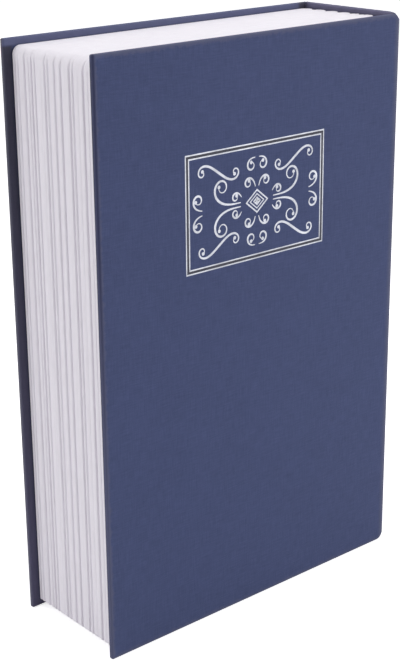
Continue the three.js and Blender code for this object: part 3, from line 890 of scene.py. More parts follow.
@dataclass(frozen=True)
class MottledFinish:
    """Plastic, paper, board, felt or metal, its tone uneven or drawn out one way."""

    name: str
    dark: Triple
    light: Triple
    roughness: Span
    scale: float
    stretch: Triple = EVEN
    relief: float = 0.00002
    strength: float = 0.5
    sheen: float = 0.0
    metal: bool = False
    bloom: float = 90.0

    def build(self, effects: Effects) -> bpy.types.Material:
        """Make the material from the shared groups."""
        constants = {"Metallic": float(self.metal), "Sheen_Weight": self.sheen}
        coat = Coat(self.name, Roughness=self.roughness[0], **constants)
        mottle = {"Vector": coat.where, "Stretch": self.stretch, "Scale": self.scale}
        grain = coat.group(effects.mottle, **mottle)
        tone = grain["Tone"]
        if self.metal:
            bloom = mottle | {"Stretch": EVEN, "Scale": self.bloom}
            tone = coat.group(effects.mottle, **bloom)["Tone"]
        coat.join("Base Color", coat.blend(tone, self.dark, self.light))
        coat.join("Roughness", coat.stretch(grain["Tone"], 0, 1, *self.roughness))
        coat.emboss(grain["Height"], self.relief, self.strength)
        return coat.material


@dataclass(frozen=True)
class PaintFinish:
    """Powder coat on steel: fine orange peel, lighter where edges are rubbed."""

    name: str
    dark: Triple
    light: Triple
    rubbed: Triple
    low: Vector
    high: Vector
    scale: float = 700.0
    edge: float = 0.0009
    edge_share: float = 0.6
    roughness: Span = (0.42, 0.58)
    relief: float = 0.00004
    strength: float = 0.6

    def build(self, effects: Effects) -> bpy.types.Material:
        """Make the material from the shared groups."""
        coat = Coat(self.name, Roughness=0.5)
        mottle = {"Vector": coat.where, "Stretch": EVEN, "Scale": self.scale}
        peel = coat.group(effects.mottle, **mottle)
        box = {"Low": self.low, "High": self.high}
        wear = coat.group(effects.wear, Vector=coat.where, Width=self.edge, **box)
        base = coat.blend(peel["Tone"], self.dark, self.light)
        worn = coat.blend(coat.times(wear["Mask"], self.edge_share), base, self.rubbed)
        coat.join("Base Color", worn)
        coat.join("Roughness", coat.stretch(peel["Tone"], 0, 1, *self.roughness))
        coat.emboss(peel["Height"], self.relief, self.strength)
        return coat.material


def metal(
    name: str,
    dark: Triple,
    light: Triple,
    roughness: Span,
    scale: float = 160.0,
    stretch: Triple = EVEN,
) -> MottledFinish:
    """Bare or plated metal, with fine rubbing drawn out along one direction."""
    fine = {"relief": 0.00001, "strength": 0.3, "metal": True}
    return MottledFinish(name, dark, light, roughness, scale, stretch, **fine)


class Finish(Enum):
    """The named finishes of the object."""

    CLOTH = ClothFinish(
        "navy_book_cloth",
        dark=(56, 65, 98),
        light=(75, 85, 127),
        rubbed=(95, 96, 119),
        # Below: the painted light at the head, then two colours of painted shade beside the page
        # block and in the fold.
        lit_head=(97, 101, 133),
        shade_dark=(56, 54, 69),
        shade_low=(84, 80, 106),
    )
    LINING = ClothFinish(
        "navy_lining",
        dark=(42, 49, 82),
        light=(58, 67, 106),
        rubbed=(52, 54, 82),
        # Below: the painted light at the head, then two colours of painted shade beside the page
        # block and in the fold.
        lit_head=(112, 110, 138),
        shade_dark=(27, 26, 41),
        shade_low=(27, 26, 41),
        pitch=0.0004,
        relief=0.00006,
        follows_surface=False,
        inner_from=-0.0008,
    )
    PRESSED = MottledFinish("pressed_cloth", (36, 36, 48), (52, 52, 66), (0.7, 0.6), 700.0)
    BOARD = MottledFinish(
        "greyboard", (120, 116, 108), (152, 148, 140), (0.95, 0.85), 400.0, relief=0.00006
    )
    ENDPAPER = MottledFinish(
        "endpaper", (228, 225, 218), (240, 238, 232), (0.92, 0.84), 260.0, relief=0.00003
    )
    PAGES = MottledFinish(
        "moulded_pages",
        (236, 231, 239),
        (246, 242, 250),
        (0.5, 0.4),
        160.0,
        (1.0, 14.0, 0.3),
        strength=0.4,
    )
    BOX_PAINT = PaintFinish(
        "box_paint",
        (40, 42, 47),
        (54, 56, 62),
        (116, 118, 122),
        to_part(BOOK.flange_box[0][0], BOOK.flange_front, BOOK.flange_box[1][0]),
        to_part(BOOK.flange_box[0][1], BOOK.block_y[1], BOOK.flange_box[1][1]),
    )
    LID_PAINT = PaintFinish(
        "lid_paint",
        (44, 46, 51),
        (58, 60, 66),
        (124, 126, 130),
        to_part(BOOK.lid_x[0], BOOK.flange_front, BOOK.lid_z[0]),
        to_part(BOOK.lid_x[1], BOOK.flange_front + BOOK.lid_depth, BOOK.lid_z[1]),
    )
    ZINC = metal(
        "plated_steel", (150, 153, 160), (196, 198, 202), (0.26, 0.42), stretch=(1.0, 1.0, 12.0)
    )
    CHROME = metal("chrome", (206, 208, 212), (226, 227, 230), (0.08, 0.16))
    FELT = MottledFinish(
        "felt", (30, 32, 38), (48, 50, 58), (1.0, 0.92), 900.0, relief=0.0002, sheen=0.3
    )
    FOIL = metal("silver_foil", (152, 154, 162), (186, 188, 196), (0.36, 0.52), 500.0)


class Wardrobe:
    """Holds the finished materials, each made once."""

    def __init__(self) -> None:
        """Make every finish."""
        effects = Effects()
        self.materials = {finish: finish.value.build(effects) for finish in Finish}

    def dress(self, piece: Piece, finish: Finish) -> None:
        """Give a new piece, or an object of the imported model, its finish."""
        if not piece.material_slots:
            piece.data.materials.append(None)
        for slot in piece.material_slots:
            slot.material = self.materials[finish]


@dataclass(frozen=True)
class Assembly:
    """What every sub-assembly needs to place and dress its pieces."""

    wardrobe: Wardrobe

    def take(self, piece: Piece, body: str, finish: Finish, slot: str, *nodes: str) -> None:
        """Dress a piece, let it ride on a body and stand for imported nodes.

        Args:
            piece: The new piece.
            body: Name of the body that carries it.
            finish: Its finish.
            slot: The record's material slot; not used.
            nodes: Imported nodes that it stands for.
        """
        self.wardrobe.dress(piece, finish)
        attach(piece, body)
        if nodes:
            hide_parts(*nodes)
        log.info("%s: %d faces, rides on %s", piece.name, len(piece.data.polygons), body)

    def keep(self, node: str, finish: Finish, slot: str) -> None:
        """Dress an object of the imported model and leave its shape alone."""
        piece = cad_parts[node]
        self.wardrobe.dress(piece, finish)
        log.info("%s: kept as packed", node)


@dataclass(frozen=True)
class Stop:
    """One stop on the way round a case, seen from the head."""

    x: float
    y: float
    outward: Span
    depth: float
    sink: float = 0.0


class Sheet:
    """Rows of points sewn together, with a map of their own for the weave."""

    def __init__(self) -> None:
        """Start an empty sheet."""
        self.mesh = bmesh.new()
        self.layer = self.mesh.loops.layers.uv.new("cloth")
        self.flats = {}

    def add(self, row: ClothRow) -> Loop:
        """Add one row of points."""
        made = []
        for place, flat in row:
            made.append(self.mesh.verts.new(to_part(*place)))
            self.flats[made[-1]] = flat
        return made

    def sew(self, rows: list[ClothRow]) -> None:
        """Add rows of points and join each to the next."""
        made = [self.add(row) for row in rows]
        for first, second in zip(made, made[1:]):
            for i in range(len(first) - 1):
                face = self.mesh.faces.new((first[i], first[i + 1], second[i + 1], second[i]))
                for loop in face.loops:
                    u, v = self.flats[loop.vert]
                    loop[self.layer].uv = (u * MM, v * MM)

    def finish(self, name: str, centre: Vector, outward: float) -> Piece:
        """Turn the sheet into an object.

        Args:
            name: Name of the piece.
            centre: A place whose nearest face has to look outward.
            outward: Which way that is along y, as a sign.

        Returns:
            The object.
        """
        mesh = self.mesh
        bmesh.ops.remove_doubles(mesh, verts=mesh.verts, dist=SHEET_WELD)
        bmesh.ops.recalc_face_normals(mesh, faces=mesh.faces)
        nearest = min(mesh.faces, key=lambda face: (face.calc_center_median() - centre).length)
        if nearest.normal.y * outward < 0:
            bmesh.ops.reverse_faces(mesh, faces=mesh.faces)
        return as_object(name, as_data(name, mesh))


@dataclass(frozen=True)
class CoverCloth:
    """Cloth drawn over a row of boards and turned in at head, tail and fore-edge.

    A row of the cloth's section is inset, depth and length: how far it lies from the
    case's edge, how far below the outer face, and how much cloth leads there.
    """

    seam: float = 5.0
    corner: float = 0.75
    edge_round: float = 0.7
    turn_in: float = 14.0
    skin: float = 0.36
    step: float = 2.0
    fan: int = 6
    arc: int = 5

    def section(self, depth: float) -> list[Triple]:
        """Section through a wrapped edge this deep, from the outer face inwards."""
        turn = min(self.edge_round, depth / 2)
        arc = [(turn * (1 - math.sin(a)), turn * (1 - math.cos(a))) for a in quarter(self.arc)]
        rows = [(inset, 0.0) for inset in (self.seam, 2.0, self.corner)]
        rows += arc + [(inset, depth - down) for down, inset in arc]
        rows += [(inset, depth) for inset in (self.corner, self.seam, 6.0, 10.0, self.turn_in)]
        length = 0.0
        section = [(*rows[0], length)]
        for before, row in zip(rows, rows[1:]):
            length += math.dist(before, row)
            section.append((*row, length))
        return section

    @staticmethod
    def point(stop: Stop, inward: float, z: float) -> Triple:
        """A place under the outer face of a stop."""
        return stop.x - inward * stop.outward[0], stop.y - inward * stop.outward[1], z

    def ring(self, index: int, stops: list[Stop], runs: list[float]) -> ClothRow:
        """One line of the cloth along tail, fore-edge and head.

        Args:
            index: Which row of the section.
            stops: The stops from the fore-edge on.
            runs: Length along the outer face at each stop.

        Returns:
            Places with their position on the cloth.
        """
        tall, first = BOOK.height, stops[0]
        side = []
        for stop, run in zip(stops, runs):
            inset, down, length = self.section(stop.depth)[index]
            drawn = inset + stop.sink * max(0.0, 1 - inset / self.seam)
            x, y, z = self.point(stop, down, drawn)
            if stop.x < self.turn_in:
                x = max(x, inset)
            side.append(((x, y, z), (run, self.seam - length)))
        inset, down, length = self.section(first.depth)[index]
        y = self.point(first, down, 0)[1]
        bend = max(self.corner - inset, 0.0)
        pivot = max(self.corner, inset)
        fan = []
        for angle in quarter(self.fan):
            over, up = math.cos(angle), math.sin(angle)
            flat = (first.x - length * over, self.seam - length * up)
            fan.append(((pivot - bend * over, y, pivot - bend * up), flat))
        clamp = max(inset, self.seam)
        fore = [
            ((inset, y, min(max(z, clamp), tall - clamp)), (first.x - length, z))
            for z in spaced(self.seam, tall - self.seam, self.step)
        ]
        tail = side[::-1] + fan[::-1]
        head = [((x, y, tall - z), (u, tall - v)) for (x, y, z), (u, v) in reversed(tail)]
        return tail + fore + head

    def build(self, name: str, stops: list[Stop], wave: float = 0.0) -> Piece:
        """Make the cloth with its thickness.

        Args:
            name: Name of the piece.
            stops: The way round the case, from the seam's distance off the fore-edge.
            wave: How far the outer face may stand off flat.

        Returns:
            The piece, with its own map for the weave and its places at rest.
        """
        runs = [stops[0].x]
        for before, after in zip(stops, stops[1:]):
            runs.append(runs[-1] + math.hypot(after.x - before.x, after.y - before.y))
        sheet = Sheet()
        count = len(self.section(stops[0].depth))
        sheet.sew([self.ring(i, stops, runs) for i in range(count)])
        lines = []
        for z in spaced(self.seam, BOOK.height - self.seam, self.step):
            row = []
            for stop, run in zip(stops, runs):
                x, y, _ = self.point(stop, 0.0, z)
                y += wave * waviness(x, z) * stop.outward[1]
                row.append(((x, y, z), (run, z)))
            lines.append(row)
        sheet.sew(lines)
        centre = to_part(BOOK.width / 2, stops[0].y, BOOK.height / 2)
        piece = sheet.finish(name, centre, stops[0].outward[1])
        wall = piece.modifiers.new("thickness", "SOLIDIFY")
        wall.thickness = self.skin * MM
        wall.offset = -1.0
        made = settled(piece)
        remember_rest(made)
        return made


def remember_rest(piece: Piece) -> None:
    """Keep each point's place at rest, so that a finish stays put when a joint bends it."""
    data = piece.data
    places = np.zeros(len(data.vertices) * 3, np.float32)
    data.vertices.foreach_get("co", places)
    data.attributes.new("rest", "FLOAT_VECTOR", "POINT").data.foreach_set("vector", places)


def waviness(x: float, z: float) -> float:
    """How far the front cover stands off flat, from -1 to 1, and 0 at its edges."""
    fade, share = 18.0, 0.35
    edge = min(x, BOOK.width - BOOK.joint_radius - x, z, BOOK.height - z)
    long_wave = math.sin(x / 31.0 + 0.6) * math.sin(z / 43.0 + 1.1)
    short_wave = share * math.sin(x / 11.0 + z / 17.0)
    return softened(edge / fade) * (long_wave + short_wave) / (1 + share)


@dataclass(frozen=True)
class Case(Assembly):
    """Covers and spine: boards, the cloth round them, linings and endpapers."""

    wave: float = 0.07
    joint_depth: float = 0.8
    joint_sink: float = 2.4
    sink_reach: float = 5.4
    joint_taper: float = 0.5
    joint_steps: int = 16
    fold_turn: float = 0.4
    fold_angle: float = 40.0
    fold_steps: int = 3
    fold_slack: float = 0.05
    fold_flat: float = 0.6
    setback: float = 2.6
    fold_sink: float = 0.45
    stop_step: float = 2.0
    board_end: float = 0.9
    strip_inset: float = 1.0
    strip_step: float = 4.0
    strip_under: float = 0.86
    strip_thick: float = 1.1
    strip_turn: float = 0.5
    strip_arc: int = 6
    lining_gap: float = 0.7
    lining_inset: float = 3.0
    lining_corner: float = 0.6
    lining_edge: tuple[Span, ...] = ((0.0, 0.02), (0.0, 0.14), (0.04, 0.18))
    paper_corner: float = 2.0
    lap: float = 0.2
    paper_inset: float = 3.2
    paper_gap: float = 0.01

    def sink(self, away: float) -> float:
        """How far the cloth's head and tail are pressed down near the soft corner."""
        share = min(away / self.sink_reach, 1.0)
        return self.joint_sink * (1 - share * share) ** 2

    def fold(self, x: float, y: float, to_spine: bool) -> list[Stop]:
        """Stops on the small turn into the fold.

        Args:
            x: Its pivot.
            y: Its pivot.
            to_spine: Whether it starts from the spine's outer face.

        Returns:
            The stops.
        """
        found = []
        for i in range(self.fold_steps + 1):
            angle = math.radians(self.fold_angle) * i / self.fold_steps
            ways = (math.cos(angle), math.sin(angle))
            out = ways if to_spine else ways[::-1]
            place = (x + self.fold_turn * out[0], y + self.fold_turn * out[1])
            found.append(Stop(*place, out, self.joint_depth, self.fold_sink))
        return found

    def front_stops(self) -> list[Stop]:
        """The way over the front cover, round the soft corner and up the spine."""
        full, thin, radius = BOOK.cover_depth, self.joint_depth, BOOK.joint_radius
        end = BOOK.width - radius
        front, side = (0.0, -1.0), (1.0, 0.0)
        flat = spaced(CoverCloth.seam, end - self.board_end, self.stop_step)
        found = [Stop(x, 0.0, front, full) for x in flat]
        half_turn = radius * math.pi / 4
        edge = self.sink(half_turn + self.joint_taper)
        found.append(Stop(end - self.joint_taper, 0.0, front, thin, edge))
        for i, angle in enumerate(quarter(self.joint_steps)):
            out = (math.sin(angle), -math.cos(angle))
            away = abs(2 * i / self.joint_steps - 1) * half_turn
            place = (end + radius * out[0], radius + radius * out[1])
            found.append(Stop(*place, out, thin, self.sink(away)))
        start = radius + self.joint_taper
        last = BOOK.thickness - self.setback
        centre = BOOK.thickness - self.fold_turn - self.fold_slack
        found.append(Stop(BOOK.width, start, side, full, edge))
        flat = spaced(start, last, self.stop_step)[1:]
        found += [Stop(BOOK.width, y, side, full) for y in flat]
        found += [
            Stop(BOOK.width, y, side, thin)
            for y in (last + self.joint_taper, centre - self.fold_flat)
        ]
        return found + self.fold(BOOK.width - self.fold_turn, centre, True)

    def back_stops(self) -> list[Stop]:
        """The way over the back cover to the fold."""
        back, deep = (0.0, 1.0), BOOK.thickness
        last = BOOK.width - self.setback - self.lap
        centre = BOOK.width - self.fold_turn - self.fold_slack
        flat = spaced(CoverCloth.seam, last, self.stop_step)
        found = [Stop(x, deep, back, BOOK.cover_depth) for x in flat]
        found += [
            Stop(x, deep, back, self.joint_depth)
            for x in (last + self.joint_taper, centre - self.fold_flat)
        ]
        return found + self.fold(centre, deep - self.fold_turn, False)

    def fold_strip(self) -> Piece:
        """Cloth behind the back fold, from the back cover's board to the spine's."""
        wide, deep = BOOK.width, BOOK.thickness
        under, thick, turn = self.strip_under, self.strip_thick, self.strip_turn
        corner = (wide - under - turn, deep - under - turn)
        start, low = wide - self.setback + self.lap, deep - self.setback + self.lap
        outer = [
            (corner[0] + turn * math.cos(angle), corner[1] + turn * math.sin(angle))
            for angle in reversed(quarter(self.strip_arc))
        ]
        inside = (wide - under - thick, deep - under - thick)
        inner = [(inside[0], low), inside, (start, inside[1])]
        section = [(start, deep - under), *outer, (wide - under, low), *inner]
        heights = spaced(*narrowed((0.0, BOOK.height), self.strip_inset), self.strip_step)
        rows = [(section, z) for z in heights]
        return solid("fold_cloth", rows, facing=Facing.HEAD)

    def lining(self) -> Piece:
        """Lining on the spine board's inner face, lapping over the turned-in cloth."""
        inner = BOOK.width - BOOK.cover_depth
        y = (BOOK.joint_radius + self.lining_gap, BOOK.thickness - self.setback - self.lap)
        z = narrowed((0.0, BOOK.height), self.lining_inset)
        rows = [
            (rounded(y, z, self.lining_corner, inset), inner - rise)
            for inset, rise in self.lining_edge
        ]
        return solid("spine_lining_cloth", rows, facing=Facing.SPINE)

    def back_paper(self) -> Piece:
        """Endpaper between the back cover and the page block, inside the block's edge."""
        x = narrowed((BOOK.fore_margin, BOOK.block_spine), self.paper_inset)
        z = narrowed(BOOK.block_z, self.paper_inset)
        outline, low = rounded(x, z, self.paper_corner), BOOK.block_y[1]
        rows = [(outline, y) for y in narrowed((low, low + BOOK.paper), self.paper_gap)]
        return solid("back_paper", rows)

    def build(self) -> None:
        """Make and dress the whole case."""
        cloth = CoverCloth()
        front = cloth.build("case_cloth", self.front_stops(), self.wave)
        self.wardrobe.dress(front, Finish.CLOTH)
        start = to_part(155.5, BOOK.cover_depth, 120)
        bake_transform(front)
        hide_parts("front_cloth", "spine_cloth")
        log.info("%s: %d faces, bends at the joint", front.name, len(front.data.polygons))
        back = cloth.build("back_cover_cloth", self.back_stops())
        self.take(back, "case_back", Finish.CLOTH, "book_cloth", "back_cloth")
        strip = self.fold_strip()
        self.wardrobe.dress(strip, Finish.LINING)
        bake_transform(strip)
        log.info("%s: %d faces, bends at the fold", strip.name, len(strip.data.polygons))
        self.take(self.lining(), "spine", Finish.LINING, "lining_cloth", "spine_lining")
        for node in ("front_board", "spine_board", "back_board"):
            self.keep(node, Finish.BOARD, "greyboard")
        self.keep("front_endpaper", Finish.ENDPAPER, "endpaper")
        paper = self.back_paper()
        self.take(paper, "case_back", Finish.ENDPAPER, "endpaper", "back_endpaper")


@dataclass(frozen=True)
class PageBlock(Assembly):
    """One moulding, ribbed like leaves on three sides and open for the steel box."""

    draft: float = 0.6
    corner: float = 3.4
    corner_growth: float = 1.8
    tail_corner: float = 1.0
    head_rise: float = 0.35
    rungs: int = 76
    lip: float = 0.8
    lip_rise: float = 0.8
    gatherings: tuple[float, ...] = (9.4, 8.7, 4.6, 7.4, 6.9, 8.5, 6.7)
    bulge: float = 4.6
    wall: float = 2.0
    web: float = 2.0
    seed: int = 7
    stations: int = 44
    deepening: float = 3.8
    steepness: float = 5.6
    roundness: float = 0.55
    corner_steps: int = 10
    rebate: Span = (2.2, 0.45)
    front_edge: tuple[Span, ...] = ((0.0, 0.28), (0.09, 0.09), (0.28, 0.0))
    back_edge: tuple[Span, ...] = ((-0.2, 0.0), (-0.05, 0.07), (0.0, 0.2))
    rim_ease: float = 0.25
    pocket_corner: float = 0.8
    pocket_counts: tuple[int, int] = (5, 3)
    plain_step: float = 20.0
    nearest: float = 0.05
    shares: tuple[float, ...] = (0.0, 0.045, 0.11, 0.2, 0.36, 0.7)
    groove_half: float = 1.4
    fine_limit: float = 0.35
    fine_depth: Span = (0.02, 0.1)
    fine_half: Span = (0.14, 0.26)
    fine_start: Span = (0.4, 0.8)
    fine_step: Span = (0.42, 0.85)
    run_out_span: Span = (1.4, 7.6)
    run_out_rest: float = 0.05
    first_groove: float = 0.35
    last_groove: float = 0.15
    last_reach: float = 1.0
    angle: float = 55.0
    screw_bore: float = 1.4
    screw_depth: float = 9.3
    widths: tuple[float, ...] = (
        *(2.4, 2.2, 2.9, 3.1, 3.2, 2.1, 5.4, 3.9, 4.1),
        *(2.1, 2.5, 3.8, 2.2, 1.9, 2.6, 4.3, 2.0, 1.5),
    )
    depths: tuple[float, ...] = (
        *(0.4, 0.12, 1.0, 0.08, 0.5, 1.1, 0.95, 0.8, 0.42),
        *(0.9, 0.05, 0.42, 1.0, 0.22, 1.0, 0.4, 0.5, 0.4),
    )

    def grooves(self) -> list[Triple]:
        """Grooves between bundles, and the finer ones between leaves.

        Returns:
            Place, depth and half width of each groove.
        """
        front, back = BOOK.block_y
        scale = (back - front) / sum(self.widths)
        chance = np.random.default_rng(self.seed)
        found = [(front, self.first_groove, self.groove_half)]
        y = front
        for width, depth in zip(self.widths, self.depths):
            end = y + width * scale
            inside = end < back - self.last_reach
            sunk = self.deepening * depth if inside else self.last_groove
            found.append((end, sunk, self.groove_half))
            place = y + chance.uniform(*self.fine_start)
            while place < end - self.fine_limit:
                fine = [chance.uniform(*span) for span in (self.fine_depth, self.fine_half)]
                found.append((place, *fine))
                place += chance.uniform(*self.fine_step)
            y = end
        return found

    def levels(self, grooves: list[Triple]) -> list[float]:
        """Depths at which the wall gets a ring of points.

        Args:
            grooves: What grooves() gives.

        Returns:
            Places from front to back.
        """
        front, back = BOOK.block_y
        wanted = {round(front + self.lip, 3), round(back, 3)}
        for place, _, half in grooves:
            for share in (0.0, 1.0) if half < self.fine_limit else self.shares:
                wanted |= {round(place + share * half, 3), round(place - share * half, 3)}
        kept = [y for y in sorted(wanted) if front + self.lip <= y <= back]
        spread = [kept[0]]
        for y in kept[1:-1]:
            if y - spread[-1] > self.nearest and back - y > self.nearest:
                spread.append(y)
        return spread + [kept[-1]]

    def spine_at(self, y: float) -> float:
        """Spine side of the block at one depth, rounded into gatherings."""
        front, back = BOOK.block_y
        scale = (back - front) / sum(self.gatherings)
        start = front
        rise = 0.0
        for width in self.gatherings:
            share = (y - start) / (width * scale)
            if share <= 1:
                rise = max(4 * share * (1 - share), 0.0)
                break
            start += width * scale
        return BOOK.block_spine - self.bulge + self.bulge * rise**self.roundness

    def run_out(self, below: float) -> float:
        """Share of a groove's depth at a distance below the head."""
        start, end = self.run_out_span
        share = softened((below - start) / (end - start))
        return self.run_out_rest + (1 - self.run_out_rest) * share

    @staticmethod
    def drift(y: float, along: float) -> float:
        """Slight unevenness of the leaves along the block."""
        slow = math.sin(along / 37.0 + 1.7 * math.sin(y * 0.9))
        quick = math.sin(along / 13.0 + 2.3 * math.sin(y * 1.7) + y)
        return 0.01 * slow + 0.003 * quick

    def outline(
        self, y: float, out: float, spine: float, corner: float, sunk: float, uneven: bool
    ) -> Outline:
        """Outline of the block at one depth.

        Args:
            y: The depth.
            out: How far it stands out from the margins.
            spine: Its spine side.
            corner: Radius of the head's corner.
            sunk: How far a groove draws it in.
            uneven: Whether it shows the leaves' unevenness and the rising head.

        Returns:
            Points from the spine's head corner round the fore-edge and back.
        """
        low, high = BOOK.block_z
        foot, margin = self.tail_corner, BOOK.fore_margin
        reach = margin + corner
        head = [spine + (reach - spine) * i / self.stations for i in range(self.stations + 1)]
        arc = quarter(self.corner_steps)[1:-1]
        points = []
        for x in head:
            rise = self.head_rise * (x - reach) / (spine - reach) + self.drift(y, x)
            points.append((x, high + out - self.run_out(0) * sunk + rise * uneven))
        for angle in arc:
            radius = corner + out - sunk * self.run_out(corner * (1 - math.cos(angle)))
            place = (reach - radius * math.sin(angle), high - corner + radius * math.cos(angle))
            points.append(place)
        for z in np.linspace(high - corner, low + foot, self.rungs):
            depth = sunk * self.run_out(high - z) + self.drift(y, z) * uneven
            points.append((margin - out + depth, float(z)))
        pivot, radius = margin + foot + sunk, foot + out
        for angle in reversed(arc):
            place = (pivot - radius * math.sin(angle), low + foot - radius * math.cos(angle))
            points.append(place)
        points += [(x, low - out) for x in reversed(head)]
        return points + [(spine, z) for z in spaced(low, high, self.plain_step)[1:-1]]

    def wall_ring(self, y: float, grooves: np.ndarray, inset: float = 0.0) -> Outline:
        """Outline of the leaves at one depth.

        Args:
            y: The depth.
            grooves: Place, depth and half width of each groove, one row each.
            inset: How far the outline is drawn in.

        Returns:
            The outline.
        """
        front, back = BOOK.block_y
        away = np.abs(y - grooves[:, 0]) / grooves[:, 2]
        sunk = float(np.max(grooves[:, 1] * np.clip(1 - away, 0, 1) ** self.steepness))
        forward = (back - y) / (back - front)
        corner = self.corner + self.corner_growth * forward
        out = self.draft * forward - inset
        return self.outline(y, out, self.spine_at(y) - inset, corner, sunk, True)

    def lip_ring(self, y: float, inset: float) -> Outline:
        """Outline of the plate that closes the block's front."""
        out = self.draft + self.lip_rise - inset
        corner = self.corner + self.corner_growth
        return self.outline(y, out, BOOK.block_spine - inset, corner, 0.0, False)

    def pockets(self) -> list[tuple[Span, Span]]:
        """Pockets that lighten the moulding from its hidden back."""
        skin = self.wall + self.rebate[0]
        well = BOOK.clearance + self.wall
        x, z = narrowed(BOOK.box_x, -well), narrowed(BOOK.box_z, -well)
        spine = BOOK.block_spine - self.bulge - self.wall
        tail, head = narrowed(BOOK.block_z, skin)
        sides = [(BOOK.fore_margin + skin, x[0]), (x[1], spine)]
        ends = [(tail, z[0]), (z[1], head)]
        found = []
        for (start, end), count, others, upright in (
            (BOOK.box_z, self.pocket_counts[0], sides, True),
            (BOOK.box_x, self.pocket_counts[1], ends, False),
        ):
            length = (end - start) / count
            for i in range(count):
                middle = start + (i + 0.5) * length
                own = narrowed((middle, middle), (self.web - length) / 2)
                found += [(other, own) if upright else (own, other) for other in others]
        return found

    def build(self) -> None:
        """Make and dress the block."""
        front, back = BOOK.block_y
        found = self.grooves()
        table = np.array(found)
        lip = [(front + down, inset) for down, inset in self.front_edge]
        lip += [(front + self.lip + down, inset) for down, inset in self.back_edge]
        rows = [(self.lip_ring(y, inset), y) for y, inset in lip]
        deep, tall = self.rebate
        step_y = back - tall
        levels = [y for y in self.levels(found) if y < step_y - self.nearest]
        rows += [(self.wall_ring(y, table), y) for y in levels]
        for y, inset in ((step_y, 0.0), (step_y, deep), (back, deep)):
            rows.append((self.wall_ring(y, table, inset), y))
        shape = Shape()
        outer_front, outer_back = shape.tube(rows)
        gap, flange_back = BOOK.clearance, BOOK.flange_back
        radius = BOOK.box_corner + gap
        recess = rounded(*BOOK.flange_box, radius, -gap)
        eased = rounded(*BOOK.flange_box, radius, -gap - self.rim_ease)
        below = front + self.rim_ease
        rim, floor = shape.tube([(eased, front), (recess, below), (recess, flange_back)])
        shape.plane(outer_front, rim)
        well = rounded(BOOK.box_x, BOOK.box_z, radius, -gap)
        well_front, well_back = shape.tube([(well, flange_back), (well, back)])
        depths = (flange_back, BOOK.flange_front + self.screw_depth)
        bores = [drilled(*place, self.screw_bore, depths) for place in BOOK.screw_places]
        shape.plane(floor, well_front, *[shape.sunk(bore) for bore in bores])
        pocket_floor = flange_back + self.wall + gap
        outlines = [rounded(*pocket, self.pocket_corner) for pocket in self.pockets()]
        openings = [shape.sunk([(line, back), (line, pocket_floor)]) for line in outlines]
        shape.plane(outer_back, well_back, *openings)
        piece = shape.finish("page_block", self.angle)
        self.take(piece, "case_back", Finish.PAGES, "moulded_pages", "page_frame")


@dataclass(frozen=True)
class Stroke:
    """One stroke of the ornament, in the first quarter round the ornament's middle."""

    start: Span
    heading: float
    turn: float
    length: float
    power: float
    half: float
    two_ended: bool = False
    steps: int = 32
    thin: float = 0.4
    quicker: float = 1.1

    def run(self, sign: int) -> Outline:
        """Follow the stroke from its start: nearly straight, then winding up.

        Args:
            sign: 1 along its heading, -1 the other way.

        Returns:
            Points along the path.
        """
        step = sign * self.length / self.steps / (2 if self.two_ended else 1)
        x, z = self.start
        points = [self.start]
        for i in range(self.steps):
            angle = self.heading + self.turn * ((i + 0.5) / self.steps) ** self.power
            x += step * math.cos(angle)
            z += step * math.sin(angle)
            points.append((x, z))
        return points

    def path(self) -> Outline:
        """The whole stroke, through its start if it winds up at both ends."""
        return (self.run(-1)[:0:-1] if self.two_ended else []) + self.run(1)

    def halves(self) -> list[float]:
        """Half its width at each point, widest in its middle."""
        count = len(self.path()) - 1
        full = 1.0 if self.two_ended else self.quicker
        swell = [math.sin(math.pi * min(full * i / count, 1.0)) for i in range(count + 1)]
        more = 1 - self.thin
        return [self.half * (self.thin + more * max(share, 0.0)) for share in swell]


